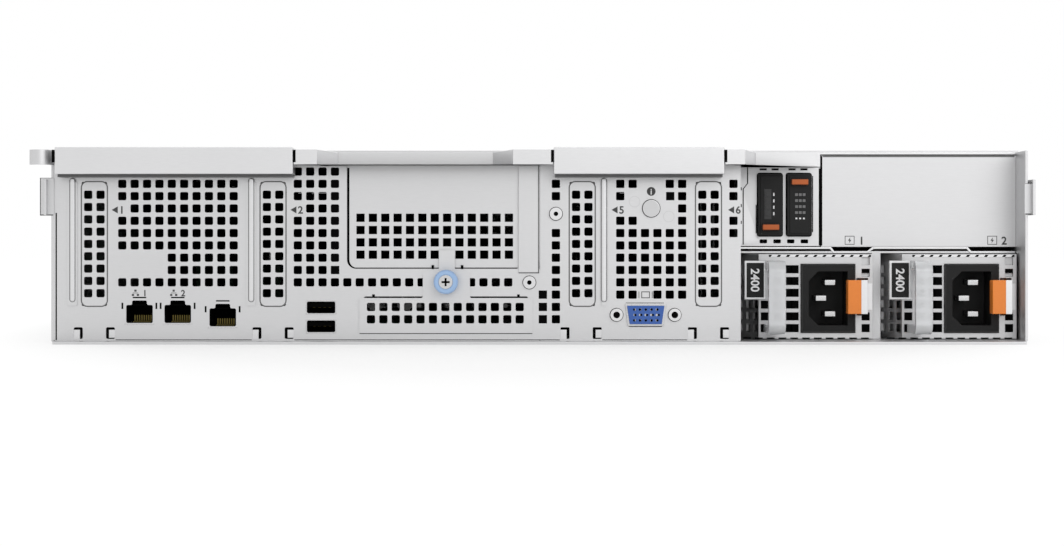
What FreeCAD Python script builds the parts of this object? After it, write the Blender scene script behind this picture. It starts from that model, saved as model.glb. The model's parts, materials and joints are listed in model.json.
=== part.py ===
"""A 2U rack server with accelerator bays, as separate pieces on one sheet of sizes.

+X is to the right as seen from behind, +Y runs from the rear panel to the front ears, +Z is up.
The origin is under the middle of the server, on the surface that it stands on.
Lengths are in millimetres.
"""
import FreeCAD, Part
import os
import re
import Sketcher
from FreeCAD import Placement, Rotation, Vector

doc = FreeCAD.newDocument("rack_server")
sheet = doc.addObject("Spreadsheet::Sheet", "sizes")
places = doc.addObject("Spreadsheet::Sheet", "places")

SIZES = [
    # the chassis
    ("body_width", 434, "outside width of the chassis"),
    ("body_height", 86.8, "outside height of the chassis"),
    ("rear_to_ear", 870, "from the rearmost plane to the rack face of the ears"),
    ("ear_reach", 22, "how far the ears stand in front of the rack face"),
    ("base_sheet", 1.2, "thickness of the bottom"),
    ("side_sheet", 1.2, "thickness of the side walls"),
    ("panel_sheet", 1, "thickness of rear panels, cover and bridge"),
    ("wall_set_back", 12, "rear walls behind the rearmost plane"),
    ("recess_set_back", 33, "right-hand rear panels behind the rearmost plane"),
    ("seam_gap", 0.3, "gap between two neighbouring sheets"),
    ("bracket_stand_off", 1.4, "gap between a corner bracket and the side wall"),
    ("bracket_depth", 40, "length of a corner bracket along the side"),
    ("bracket_base", 57, "height of a corner bracket's lower edge"),
    ("curl_radius", 4.6, "outside radius of the rolled tab at the left rear corner"),
    # vents
    ("vent_hole", 3.7, "side of a square vent hole"),
    ("vent_pitch", 5.5, "pitch of the vent columns"),
    ("vent_rise", 5.47, "pitch of the vent rows"),
    ("vent_base", 8.9, "height of the lowest vent row's lower edge"),
    # rear walls
    ("right_wall_width", 89.2, "width of the right rear wall"),
    ("window_left", 131.4, "left edge of the opening for the middle panel"),
    ("window_base", 33.2, "lower edge of the opening for the middle panel"),
    ("window_round", 4, "corner radius of that opening"),
    ("slot_width", 11.3, "width of a slot opening"),
    ("slot_height", 55.2, "height of a slot opening"),
    ("slot_base", 16.6, "height of a slot opening's lower edge"),
    ("slot_1_left", 13.5, "slot 1 from the left side"),
    ("slot_2_left", 92.9, "slot 2 from the left side"),
    ("slot_5_in", 13.1, "slot 5 from the seam of the rear walls"),
    ("slot_6_in", 69.2, "slot 6 from the seam"),
    ("filler_gap", 0.15, "gap round a slot filler"),
    ("filler_round", 2, "corner radius of a slot filler"),
    ("slot_1_vent_left", 29.7, "first vent column beside slot 1"),
    ("slot_2_vent_left", 107.7, "first vent column beside slot 2"),
    ("seam_vent_in", 5.2, "column of vents beside the seam"),
    ("slot_5_vent_in", 33.8, "first vent column beside slot 5 from the seam"),
    ("slot_6_vent_in", 84.1, "vent column beside slot 6 from the seam"),
    ("rib_width", 4.2, "width of an embossed rib"),
    ("rib_height", 55, "height of an embossed rib"),
    ("rib_rise", 0.8, "how far a rib stands proud"),
    ("notch_width", 4, "width of a notch along the foot of the wall"),
    ("notch_height", 5.2, "height of a notch"),
    ("notch_base", 2, "height of a notch's lower edge"),
    # sockets
    ("jack_width", 11.8, "width of an Ethernet socket's mouth"),
    ("jack_height", 8, "height of the mouth under its latch step"),
    ("jack_step_width", 6.6, "width of the latch step"),
    ("jack_step_height", 2, "height of the latch step"),
    ("jack_depth", 14, "depth of the mouth"),
    ("jack_shell", 1.5, "wall of the Ethernet socket"),
    ("jack_base", 9.1, "height of the mouth's lower edge"),
    ("management_jack_base", 7.6, "the same for the management socket"),
    ("jack_1_left", 33.3, "first Ethernet socket from the left side"),
    ("jack_2_left", 50.3, "second Ethernet socket from the left side"),
    ("management_jack_left", 70.3, "management socket from the left side"),
    ("usb_width", 12.6, "width of a USB mouth"),
    ("usb_height", 5.2, "height of a USB mouth"),
    ("usb_rise", 8.4, "from one USB mouth to the next"),
    ("usb_left", 113.6, "USB sockets from the left side"),
    ("usb_base", 5, "height of the lower USB mouth"),
    ("usb_depth", 15, "depth of a USB mouth"),
    ("usb_shell", 0.6, "wall of the USB shell"),
    ("usb_tongue", 1.8, "thickness of a USB tongue"),
    ("display_width", 16.6, "width of the display connector at its wide side"),
    ("display_height", 8.2, "height of the display connector"),
    ("display_taper", 1.2, "how far its lower corners step in"),
    ("display_in", 38.6, "display connector from the seam"),
    ("display_base", 8.6, "height of the display connector's lower edge"),
    ("display_proud", 5, "how far its shell stands behind the wall"),
    ("nut_radius", 2.8, "radius of a screw post"),
    ("nut_proud", 1.6, "how far it stands proud"),
    ("nut_offset", 4.6, "post's centre beside the display connector"),
    # things fastened to the rear walls
    ("middle_lap", 8, "how far the middle panel laps behind its opening, left"),
    ("middle_lap_base", 3.4, "how far it laps below the opening"),
    ("middle_vent_left", 135.5, "first vent column of the middle panel"),
    ("middle_vent_base", 37.6, "lowest vent row of the middle panel"),
    ("strap_in", 9.2, "left edge of the strap to the seam"),
    ("strap_width", 8.9, "width of the strap"),
    ("strap_base", 31.3, "height of the strap's lower end"),
    ("strap_sheet", 1.5, "thickness of the strap"),
    ("strap_round", 4, "corner radius of the strap's lower end"),
    ("card_left", 137, "network card blank from the left side"),
    ("card_margin", 3.4, "card blank to the seam"),
    ("card_base", 4.6, "height of the blank's lower edge"),
    ("card_height", 15.6, "height of the blank"),
    ("card_vent_left", 140.3, "first vent column of the card blank"),
    ("tab_width", 20.9, "width of the fixing tab"),
    ("tab_top", 32.2, "height of the tab's upper edge"),
    ("screw_head_radius", 5.4, "radius of the captive screw's head"),
    ("screw_head_length", 8, "length of its head"),
    ("screw_shank_radius", 2, "radius of its shank"),
    ("screw_shank_length", 9, "length of its shank"),
    ("screw_height", 27.4, "height of the captive screw"),
    ("turning_gap", 0.05, "radial gap of a turning fit"),
    ("button_radius", 3.75, "radius of the locator button"),
    ("button_in", 49.4, "locator button from the seam"),
    ("button_height", 60, "height of the locator button"),
    ("button_proud", 1.6, "how far it stands proud"),
    ("button_flange", 1, "how far its inner flange reaches round"),
    # bars over the slots, and the bridge
    ("bar_height", 11.9, "height of a slot cover bar"),
    ("bar_1_left", 3.8, "left bar from the left side"),
    ("bar_1_width", 104.8, "width of the left bar"),
    ("bar_2_in", 6, "right bar from the seam"),
    ("bar_2_width", 75.1, "width of the right bar"),
    ("lip_height", 6.6, "height of the bridge's lip"),
    ("bridge_depth", 62, "front edge of the bridge behind the rearmost plane"),
    ("bay_start", 119.2, "where the bridge turns in, left"),
    ("bay_inner_start", 125.7, "where it is fully set back, left"),
    ("bay_inner_in", 21.3, "where it starts to come back, from the seam"),
    ("bay_in", 11.9, "where it is back at the rear plane, from the seam"),
    ("step_in", 0.9, "where it turns in for the right-hand panels, from the wall's end"),
    ("step_inner_in", 8.6, "where it is set back for good, from the wall's end"),
    # right-hand panels
    ("boot_in", 6.2, "start drive frame from the wall's end"),
    ("boot_width", 31.6, "width of the frame"),
    ("boot_rise", 3.3, "frame above the power supplies' cage"),
    ("module_width", 10.9, "width of a start drive"),
    ("module_margin", 7.6, "how much a start drive is lower than its frame"),
    ("module_length", 110, "length of a start drive"),
    ("module_1_in", 3.3, "first start drive from its frame's left edge"),
    ("module_2_in", 16.4, "second start drive from its frame's left edge"),
    ("module_rise", 4.7, "start drives above their frame's lower edge"),
    ("module_proud", 3, "how far its face stands behind the frame"),
    ("module_tab_width", 7.6, "width of its pull tab"),
    ("module_tab_height", 2.6, "height of its pull tab"),
    ("module_tab_proud", 3, "how far its pull tab stands out"),
    ("blank_rise", 1.9, "blank panel above the cage's roof"),
    ("blank_gap", 1.45, "blank panel under the bridge"),
    # power supplies
    ("supply_width", 60, "width of a power supply"),
    ("supply_height", 38.2, "height of a power supply"),
    ("supply_length", 190, "length of a power supply"),
    ("supply_divider", 4.6, "from one supply to the next, between their cases"),
    ("supply_in", 0.8, "first supply from the wall's end"),
    ("supply_lift", 0.3, "supplies above the bottom sheet"),
    ("supply_proud", 7, "how far a supply's face stands behind its cage"),
    ("supply_gap", 0.3, "gap between a supply and its cage"),
    ("slant_width", 8.4, "width of the slanted rear corner"),
    ("slant_depth", 14.6, "depth of the slanted rear corner"),
    ("supply_hole", 3.6, "side of a supply's vent hole"),
    ("supply_hole_rise", 5.3, "pitch of a supply's vent rows"),
    ("vent_depth", 2, "depth of a supply's vent holes"),
    ("inlet_in", 8.1, "inlet from the supply's right side"),
    ("inlet_width", 24.5, "width of the inlet block"),
    ("inlet_height", 31, "height of the inlet block"),
    ("inlet_base", 2.7, "inlet from the supply's underside"),
    ("inlet_length", 22, "length of the inlet block"),
    ("inlet_proud", 1, "how far it stands proud of the face"),
    ("mouth_width", 17.3, "width of the inlet's recess"),
    ("mouth_height", 24.2, "height of the inlet's recess"),
    ("mouth_depth", 17, "depth of the inlet's recess"),
    ("mouth_chamfer", 4.2, "cut corners of the recess"),
    ("blade_width", 4.6, "width of a contact blade"),
    ("blade_height", 2.2, "thickness of a contact blade"),
    ("blade_rise", 7.1, "from one blade to the next"),
    ("blade_offset", 4.1, "how far the middle blade is set to the left"),
    ("blade_recess", 5, "blade tips behind the recess's rim"),
    ("grip_left", 10.6, "handle from the supply's left side"),
    ("grip_width", 7.5, "width of the handle"),
    ("grip_height", 32.5, "height of the handle"),
    ("grip_base", 2.8, "handle from the supply's underside"),
    ("grip_bar", 4, "thickness of the handle's bar and legs"),
    ("grip_round", 5, "outside radius of the handle's bends"),
    ("flag_width", 9.6, "width of the handle's label plate"),
    ("flag_height", 17.4, "height of the label plate"),
    ("flag_sheet", 1.2, "thickness of the label plate"),
    ("flag_set_back", 15, "label plate behind the handle's bar"),
    ("latch_tab_in", 6.4, "release tab's left edge to its arm"),
    ("latch_tab_width", 5.8, "width of the release tab"),
    ("latch_height", 15.1, "height of the release tab"),
    ("latch_base", 11.4, "release tab from the supply's underside"),
    ("latch_proud", 8.5, "how far the release tab stands out"),
    ("latch_arm_in", 2.1, "its arm from the inlet"),
    ("latch_arm_width", 2.4, "thickness of its arm"),
    ("latch_arm_length", 14, "length of its arm inside the supply"),
    # inside
    ("board_lift", 1.3, "height of the board's stand-offs"),
    ("board_sheet", 1.6, "thickness of the system board"),
    ("foot_width", 6, "side of a stand-off under the board"),
    ("foot_in", 8, "stand-offs from the board's edges"),
    ("board_gap", 40, "system board's front edge to the fans"),
    ("board_step_gap", 0.5, "power supplies' cage to the board's wide part"),
    ("board_inset", 6, "board edge from the side walls"),
    ("card_socket_width", 7.5, "width of a card socket on the board"),
    ("card_socket_length", 89, "length of a card socket"),
    ("card_socket_height", 12, "height of a card socket"),
    ("sink_width", 80, "width of a heat sink"),
    ("sink_length", 108, "length of a heat sink"),
    ("sink_height", 64, "height of a heat sink"),
    ("sink_foot", 6, "thickness of a heat sink's foot"),
    ("fin_sheet", 1.2, "thickness of a cooling fin"),
    ("sink_fan_gap", 62, "heat sinks to the fans"),
    ("bank_margin", 19.2, "outermost memory module to the side wall"),
    ("memory_length", 133, "length of a memory module"),
    ("memory_height", 31, "height of a memory module"),
    ("memory_sheet", 3.2, "thickness of a memory module"),
    ("memory_pitch", 9, "pitch of the memory modules"),
    ("memory_gap", 6, "heat sink to the first memory module"),
    ("fan_headroom", 4.45, "gap over the fans"),
    ("fan_length", 38, "length of a fan frame"),
    ("fan_pitch", 100, "from one fan to the next"),
    ("fan_gap", 42, "fans to the accelerator cards"),
    ("fan_lift", 0.1, "fans above the bottom sheet"),
    ("fan_wall", 1.6, "thinnest wall of a fan frame"),
    ("hub_radius", 17, "radius of its hub"),
    ("hub_length", 24, "length of its hub"),
    ("tip_gap", 0.8, "gap between blade tips and frame"),
    ("blade_chord", 22, "width of a fan blade along its chord"),
    ("blade_sheet", 1.6, "thickness of a fan blade"),
    ("blade_angle", 50, "pitch angle of a fan blade in degrees"),
    ("strut_width", 4, "width of a fan frame's strut"),
    ("card_body_length", 267, "length of an accelerator card"),
    ("card_body_width", 76, "width of an accelerator card"),
    ("card_body_height", 37.4, "height of an accelerator card"),
    ("card_body_gap", 0.1, "gap between stacked cards"),
    ("card_body_front_gap", 17, "accelerator cards to the front grilles"),
    ("card_body_offset", 118, "cards' centres from the middle"),
    ("card_body_lift", 0.1, "lower card above the bottom sheet"),
    # front
    ("front_set_back", 4, "front panels behind the rack face"),
    ("grille_sheet", 2, "thickness of a front grille"),
    ("grille_margin", 6, "solid edge of a front grille"),
    ("slit_width", 4.4, "width of a front grille's slit"),
    ("slit_pitch", 9.4, "pitch of the slits"),
    ("slit_gap", 5, "web between two rows of slits"),
    ("cage_play", 1, "side play of the carriers in their cage"),
    ("backplane", 6, "thickness of the backplane behind the carriers"),
    ("cage_sheet", 1.5, "thickness of the drive cage's walls"),
    ("carrier_width", 18.4, "width of a drive carrier"),
    ("carrier_length", 114, "length of a drive carrier"),
    ("carrier_proud", 3, "how far a carrier's face stands out of the cage"),
    ("carrier_side_gap", 0.6, "gap between two carriers"),
    ("carrier_gap", 0.3, "gap below a carrier"),
    ("carrier_headroom", 2.5, "gap above a carrier, under the cage's roof"),
    ("lever_width", 12, "width of a carrier's lever"),
    ("lever_height", 58, "length of a carrier's lever"),
    ("lever_thickness", 3.5, "thickness of a carrier's lever"),
    ("lever_base", 8, "lever's pivot above the carrier's underside"),
    ("ear_overhang", 24.3, "how far an ear stands out beside the chassis"),
    ("ear_sheet", 2, "thickness of an ear"),
    ("pod_gap", 1.65, "rack hole's edge to the control housing"),
    ("rack_hole_radius", 3.4, "radius of a rack screw hole"),
    ("rack_hole_inset", 8.75, "rack holes from the ears' outer edges"),
    ("rack_hole_edge", 5.3, "rack holes from the ears' ends"),
    ("slam_width", 9, "width of a rack latch lever"),
    ("slam_height", 46, "height of a rack latch lever"),
    ("slam_thickness", 6, "thickness of a rack latch lever"),
    ("slam_base", 17, "height of a rack latch lever's lower end"),
    ("pivot_radius", 1.5, "radius of a lever's pivot"),
    ("power_radius", 3.6, "radius of the power button"),
    ("power_height", 60, "height of the power button"),
    ("power_proud", 1.2, "how far the power button stands out"),
    ("power_length", 6, "length of the power button"),
    # cover
    ("cover_rear", 40, "rear edge of the cover behind the rearmost plane"),
    ("cover_flange", 13, "height of the cover's side flanges"),
    ("cover_gap", 0.4, "gap between the cover's flanges and the side walls"),
    ("handle_width", 30, "width of the cover's latch lever"),
    ("handle_length", 90, "length of the cover's latch lever"),
    ("handle_thickness", 3, "thickness of the cover's latch lever"),
    ("handle_rear", 600, "rear end of the cover's latch lever"),
    ("handle_gap", 0.5, "gap round the latch lever in its tray"),
    # side studs
    ("stud_radius", 3.5, "radius of a rail stud"),
    ("stud_length", 4.5, "length of a rail stud's shank"),
    ("stud_head_radius", 5, "radius of a rail stud's head"),
    ("stud_head", 1.2, "thickness of a rail stud's head"),
    ("stud_first", 90, "first rail stud from the rearmost plane"),
    ("stud_pitch", 250, "from one rail stud to the next"),
    ("stud_height", 43, "height of the rail studs"),
    ("overshoot", 1, "how far a cutting shape reaches past what it cuts"),
    ("hairline", 0.1, "gap between fixed sheets that stand side by side"),
    ("tab_clearance", 1, "gap between the corner tabs and the cover's flange"),
    ("tab_set_out", 4, "how far the corner tabs stand behind the wall"),
    ("rib_gap", 2, "from a rib to its slot opening"),
    ("end_rib_gap", 3, "from the last slot to its rib"),
    ("card_side_lap", 2, "how far the card blank laps over the wall's opening at a side"),
    ("card_foot_lap", 1, "the same at the foot"),
    ("card_trim", 0.3, "how much lower the opening is than the blank"),
    ("notch_lap", 0.5, "how far a side notch reaches into its slot opening"),
    ("display_fit", 0.15, "gap round the display connector's shell"),
    ("display_depth", 8, "length of the display connector in front of the wall"),
    ("display_reach", 3, "from the shell's rim back to the insert's face"),
    ("contact_in", 1.7, "from the insert's side to its first contact hole"),
    ("contact_base", 1.2, "from the insert's foot to its first contact hole"),
    ("contact_size", 1, "side of a contact hole"),
    ("contact_depth", 4, "depth of a contact hole"),
    ("tongue_inset", 0.6, "gap at each side of a serial socket's tongue"),
    ("tongue_set_back", 1.2, "from the socket's mouth to its tongue"),
    ("tongue_drop", 0.7, "from the top of a mouth to its tongue"),
    ("seam_post_rise", 8.9, "height of the seam's screw post, in vent rows"),
    ("strap_post_gap", 1.4, "from the strap's foot to the screw post under it"),
    ("strap_foot", 2, "how much of the strap's foot is set up from its base"),
    ("tab_lap", 1, "how far the card blank's tab laps over its plate"),
    ("cross_span", 6, "length of the cross in the thumb screw"),
    ("cross_width", 1.2, "width of its cuts"),
    ("cross_depth", 2, "depth of its cuts"),
    ("flange_gap", 0.2, "from the wall to the locator button's flange"),
    ("flange_sheet", 1.5, "thickness of the locator button's flange"),
    ("module_gap", 0.2, "gap round a start drive in its frame"),
    ("boot_slit_in", 0.8, "from the first drive to the first slit of its frame"),
    ("boot_slit_base", 1.2, "from the frame's foot to its slits"),
    ("boot_slit_width", 3.4, "width of a slit"),
    ("boot_slit_height", 1.8, "height of a slit"),
    ("boot_slit_pitch", 6.2, "between two slits"),
    ("guide_lap", 1, "how far the guides reach past the drives"),
    ("module_rim", 1.2, "width of the rim round a start drive's face"),
    ("module_recess", 1.2, "how deep its face is set in"),
    ("module_tab_in", 2.5, "from a drive's end to its pull tab"),
    ("module_tab_root", 2, "how far the tab reaches into the drive"),
    ("latch_side_gap", 0.6, "gap at each side of a supply's latch"),
    ("latch_top_gap", 0.8, "gap above and below a supply's latch"),
    ("case_vent_base", 3, "from the supply's foot to its first vent"),
    ("case_vent_gap", 1, "between a vent column and the piece beside it"),
    ("case_vent_edge", 1.6, "from the last vent column to the case's side"),
    ("latch_vent_gap", 1.4, "from the latch to the vents above it"),
    ("slant_vent_in", 0.8, "from the case's side to the vents of its slanted part"),
    ("blade_shift", 1.4, "how far the inlet's blades stand beside its middle"),
    ("blade_root", 0.5, "how far a blade is sunk into the inlet's back"),
    ("latch_shy", 0.3, "how much less than the inlet the latch stands out"),
    ("latch_bridge_lap", 0.5, "how far the latch's bridge laps over its tab"),
    ("latch_bridge_sheet", 2.4, "thickness of the latch's bridge"),
    ("board_rear_gap", 2, "from the rear wall to the board"),
    ("board_side_gap", 4, "from the board's narrow part to the supply bay"),
    ("card_socket_rear", 16, "from the board's rear edge to its card sockets"),
    ("fin_root", 0.5, "how far the fins are sunk into their foot"),
    ("frame_edge", 0.6, "from a fan frame's outside to the end of its struts"),
    ("strut_sheet", 3, "thickness of the fan frames' struts and hub plates"),
    ("blade_shy", 0.5, "from the rotor's tip circle to the corners of its blades"),
    ("wall_lap", 2, "how far the fan wall laps over each fan frame"),
    ("lever_side_gap", 0.3, "gap at each side of a drive lever"),
    ("lever_rear_gap", 0.6, "gap behind a drive lever"),
    ("lever_foot_gap", 1.2, "gap under a drive lever's knuckle"),
    ("lever_top_gap", 1.8, "gap above a drive lever with its foot gap"),
    ("grip_depth", 1.5, "depth of the finger slot in a lever"),
    ("ear_flange_length", 30, "length of the flange that fixes an ear to the side wall"),
    ("ear_flange_base", 4, "height of that flange's foot"),
    ("ear_flange_trim", 18, "how much lower than the body that flange is"),
    ("slam_gap", 0.4, "gap between an ear and its latch lever"),
    ("slam_grip_lap", 2, "how far the latch lever's grip is sunk into it"),
    ("slam_grip_drop", 10, "from the lever's top to its grip's foot"),
    ("slam_grip_depth", 6, "how far the grip reaches from its root"),
    ("slam_grip_height", 4, "height of the grip"),
    ("slam_edge", 1, "from the ear's outer edge to the latch lever"),
    ("flange_rear_gap", 20, "from the corner tabs to the cover's side flanges"),
    ("flange_front_gap", 34, "from the side flanges to the cover's front edge"),
    ("tray_shy", 0.2, "how far the latch and its tray stay under the cover's top"),
    ("handle_slot_place", 0.7, "where the finger slot starts, as a share of the lever"),
    ("handle_slot_length", 12, "length of the finger slot in the cover's latch"),
]

COUNTS = {"memory_bank": 6, "inner_bank": 2, "fans": 4, "fan_sides": 24, "carriers": 4, "blades": 5, "studs": 3,
          "fins": 12}
DERIVED = [
    ("left_side", "-body_width / 2"),
    ("rear", "-(rear_to_ear + ear_reach) / 2"),
    ("bridge_top", "body_height - panel_sheet - 0.05"),
    ("bar_base", "body_height - bar_height"),
    ("front_face", "rear_to_ear - front_set_back"),
    ("cover_front", "front_face"),
    # across the rear: the set-back part takes what the supplies need, and the left wall what is left
    ("supply_pitch", "supply_width + supply_divider"),
    ("recess_width", "supply_in + supply_pitch + supply_width + 1 + side_sheet"),
    ("left_wall_width", "body_width - right_wall_width - recess_width"),
    ("wall_end", "left_wall_width + right_wall_width"),
    ("slot_5_left", "left_wall_width + slot_5_in"),
    ("slot_6_left", "left_wall_width + slot_6_in"),
    ("display_left", "left_wall_width + display_in"),
    ("button_left", "left_wall_width + button_in"),
    ("bar_2_left", "left_wall_width + bar_2_in"),
    ("strap_left", "left_wall_width - strap_in"),
    ("card_width", "left_wall_width - card_left - card_margin"),
    ("screw_left", "card_left + card_width / 2 + 0.2"),
    ("tab_left", "screw_left - tab_width / 2"),
    ("bay_inner_end", "left_wall_width - bay_inner_in"),
    ("bay_end", "left_wall_width - bay_in"),
    ("step_start", "wall_end + step_in"),
    ("step_end", "wall_end + step_inner_in"),
    # the right-hand panels stand on the supplies' cage and end under the bridge
    ("supply_left", "wall_end + supply_in"),
    ("supply_base", "base_sheet + supply_lift"),
    ("supply_rear", "recess_set_back - supply_proud"),
    ("inlet_left", "supply_width - inlet_width - inlet_in"),
    ("latch_arm_left", "inlet_left + inlet_width + latch_arm_in"),
    ("latch_left", "latch_arm_left - latch_tab_in"),
    ("supply_cage_length", "supply_length + 6"),
    ("cage_top", "supply_base + supply_height + supply_gap"),
    ("boot_left", "wall_end + boot_in"),
    ("boot_base", "cage_top + boot_rise"),
    ("boot_height", "bridge_top - lip_height - 0.25 - boot_base"),
    ("module_1_left", "boot_left + module_1_in"),
    ("module_2_left", "boot_left + module_2_in"),
    ("module_base", "boot_base + module_rise"),
    ("module_height", "boot_height - module_margin"),
    ("blank_base", "cage_top + panel_sheet + blank_rise"),
    ("blank_height", "bridge_top - blank_gap - blank_base"),
    # from the front: cards, fans, coolers, board
    ("card_body_base", "base_sheet + card_body_lift"),
    ("card_body_pitch", "card_body_height + card_body_gap"),
    ("card_body_rear", "front_face - grille_sheet - card_body_front_gap - card_body_length"),
    ("fan_base", "base_sheet + fan_lift"),
    ("fan_size", "bridge_top - fan_headroom - fan_base"),
    ("fan_rear", "card_body_rear - fan_gap - fan_length"),
    ("rotor_radius", "fan_size / 2 - fan_wall - tip_gap"),
    ("sink_rear", "fan_rear - sink_fan_gap - sink_length"),
    ("fin_pitch", f"(sink_width - fin_sheet) / {COUNTS['fins'] - 1}"),
    ("sink_to_side", f"sink_width / 2 + memory_gap + {COUNTS['memory_bank'] - 1} * memory_pitch"
                     " + memory_sheet / 2 + bank_margin + side_sheet"),
    ("sink_offset", "body_width / 2 - sink_to_side"),
    ("board_base", "base_sheet + board_lift"),
    ("board_front", "fan_rear - board_gap"),
    ("board_step", "recess_set_back + supply_cage_length + board_step_gap"),
    # the drive cage round its carriers, and the slits of the grilles beside it
    ("carrier_pitch", "carrier_width + carrier_side_gap"),
    ("cage_width", f"{COUNTS['carriers']} * carrier_pitch + 2 * cage_sheet + cage_play"),
    ("cage_length", "backplane + 1 + carrier_length - carrier_proud"),
    ("cage_left", "(body_width - cage_width) / 2"),
    ("carrier_base", "base_sheet + cage_sheet + carrier_gap"),
    ("carrier_height", "bridge_top - 0.1 - cage_sheet - carrier_headroom - carrier_base"),
    ("grille_width", "cage_left - side_sheet - 2 * seam_gap"),
    ("grille_height", "bridge_top - base_sheet - 0.2"),
    ("slit_height", "(grille_height - 2 * grille_margin - slit_gap) / 2"),
    # ears
    ("pod_width", "ear_overhang - rack_hole_inset - rack_hole_radius - pod_gap"),
]
CELLS = {}


def fill_sheets():
    """Write every driving size to its cell, and every place worked out from them to the second sheet."""
    for row, (alias, number, meaning) in enumerate(SIZES, start=1):
        sheet.set(f"A{row}", meaning)
        sheet.set(f"B{row}", str(number))
        sheet.setAlias(f"B{row}", alias)
        CELLS[alias] = "sizes." + alias
    doc.recompute()
    for row, (alias, formula_text) in enumerate(DERIVED, start=1):
        places.set(f"B{row}", "=" + formula(formula_text))
        places.setAlias(f"B{row}", alias)
        CELLS[alias] = "places." + alias
        doc.recompute()


def formula(text):
    """The expression with each size's name turned into its cell."""
    return re.sub(r"[a-z_][a-z_0-9]*", lambda word: CELLS.get(word.group(0), word.group(0)), str(text))


def value(text):
    """What a formula comes to now."""
    result = sheet.evalExpression(formula(text))
    return float(getattr(result, "Value", result))


def bind(thing, **formulas):
    """Tie properties of a document object to formulas."""
    for name, text in formulas.items():
        thing.setExpression(name, formula(text))


def put(thing, x, y, z):
    """Tie a document object's place to formulas."""
    for axis, text in (("x", x), ("y", y), ("z", z)):
        thing.setExpression("Placement.Base." + axis, formula(text))


SUB_PARTS = []


def sub_part(thing, label, left, behind, height):
    """Make an object one piece of the server, placed from the left side, the rearmost plane and the base."""
    thing.Label = label
    put(thing, f"left_side + ({left})", f"rear + ({behind})", height)
    SUB_PARTS.append(thing)
    return thing


def block(x, y, z, width, depth, height):
    """A box from its lowest corner."""
    solid = doc.addObject("Part::Box", "block")
    bind(solid, Length=width, Width=depth, Height=height)
    put(solid, x, y, z)
    return solid


AXES = {"x": Rotation(Vector(0, 1, 0), 90), "y": Rotation(Vector(1, 0, 0), -90), "z": Rotation()}


def rod(axis, x, y, z, radius, length):
    """A cylinder that starts at x, y, z and runs along +axis."""
    solid = doc.addObject("Part::Cylinder", "rod")
    solid.Placement = Placement(Vector(), AXES[axis])
    bind(solid, Radius=radius, Height=length)
    put(solid, x, y, z)
    return solid


def prism(x, y, z, radius, length):
    """A many-sided drum round a circle of that radius, which starts at x, y, z and runs along +y."""
    solid = doc.addObject("Part::Prism", "prism")
    solid.Polygon = COUNTS["fan_sides"]
    solid.Placement = Placement(Vector(), AXES["y"])
    bind(solid, Circumradius=f"({radius}) / cos(180 / {COUNTS['fan_sides']})", Height=length)
    put(solid, x, y, z)
    return solid


def join(*pieces):
    """Fuse pieces into one."""
    solid = doc.addObject("Part::MultiFuse", "join")
    solid.Shapes = list(pieces)
    solid.Refine = True
    return solid


def group(pieces):
    """Keep like pieces together as separate solids."""
    solid = doc.addObject("Part::Compound", "group")
    solid.Links = list(pieces)
    return solid


def cut(base, *tools):
    """Take tools away from a base."""
    solid = doc.addObject("Part::Cut", "cut")
    solid.Base = base
    solid.Tool = tools[0] if len(tools) == 1 else group(tools)
    return solid


# ---- sketched sheet metal

def new_body(label):
    return doc.addObject("PartDesign::Body", label)


def sketch_on(body, role):
    """A new sketch on one of the body's own origin planes."""
    sketch = body.newObject("Sketcher::SketchObject", "sketch")
    plane = [feature for feature in body.Origin.OriginFeatures if feature.Role == role][0]
    sketch.AttachmentSupport = [(plane, "")]
    sketch.MapMode = "FlatFace"
    return sketch


def pin_point(sketch, edge, x, y):
    """Tie an edge's first point to formulas for its two coordinates."""
    for kind, text, axis in (("DistanceX", x, -2), ("DistanceY", y, -1)):
        now = value(text)
        if abs(now) < 1e-9:
            sketch.addConstraint(Sketcher.Constraint("PointOnObject", edge, 1, axis))
        else:
            number = sketch.addConstraint(Sketcher.Constraint(kind, -1, 1, edge, 1, now))
            sketch.setExpression(f"Constraints[{number}]", formula(text))


def outline(sketch, points):
    """A closed outline through points given as formulas."""
    first = len(sketch.Geometry)
    spots = [Vector(value(x), value(y), 0) for x, y in points]
    count = len(spots)
    sketch.addGeometry([Part.LineSegment(spots[i], spots[(i + 1) % count]) for i in range(count)])
    for i in range(count):
        sketch.addConstraint(Sketcher.Constraint("Coincident", first + i, 2, first + (i + 1) % count, 1))
    for i, (x, y) in enumerate(points):
        pin_point(sketch, first + i, x, y)


def rectangle(sketch, x, y, width, height):
    right = f"({x}) + ({width})"
    top = f"({y}) + ({height})"
    outline(sketch, [(x, y), (right, y), (right, top), (x, top)])


def ring(sketch, x, y, radius):
    """A circle in a sketch."""
    circle = Part.Circle(Vector(value(x), value(y), 0), Vector(0, 0, 1), value(radius))
    edge = sketch.addGeometry(circle)
    for kind, text in (("DistanceX", x), ("DistanceY", y)):
        number = sketch.addConstraint(Sketcher.Constraint(kind, -1, 1, edge, 3, value(text)))
        sketch.setExpression(f"Constraints[{number}]", formula(text))
    number = sketch.addConstraint(Sketcher.Constraint("Radius", edge, value(radius)))
    sketch.setExpression(f"Constraints[{number}]", formula(radius))


def pad(body, sketch, length, outward=False):
    """Raise a sketch: away from the rear of the server, or outward towards it."""
    feature = body.newObject("PartDesign::Pad", "pad")
    feature.Profile = sketch
    feature.Reversed = not outward
    feature.Refine = False
    bind(feature, Length=length)
    return feature


def pocket(body, sketch, depth=None):
    """Cut a sketch through, or to a depth."""
    feature = body.newObject("PartDesign::Pocket", "pocket")
    feature.Profile = sketch
    feature.Refine = False
    if depth is None:
        feature.Type = "ThroughAll"
    else:
        bind(feature, Length=depth)
    return feature


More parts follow.
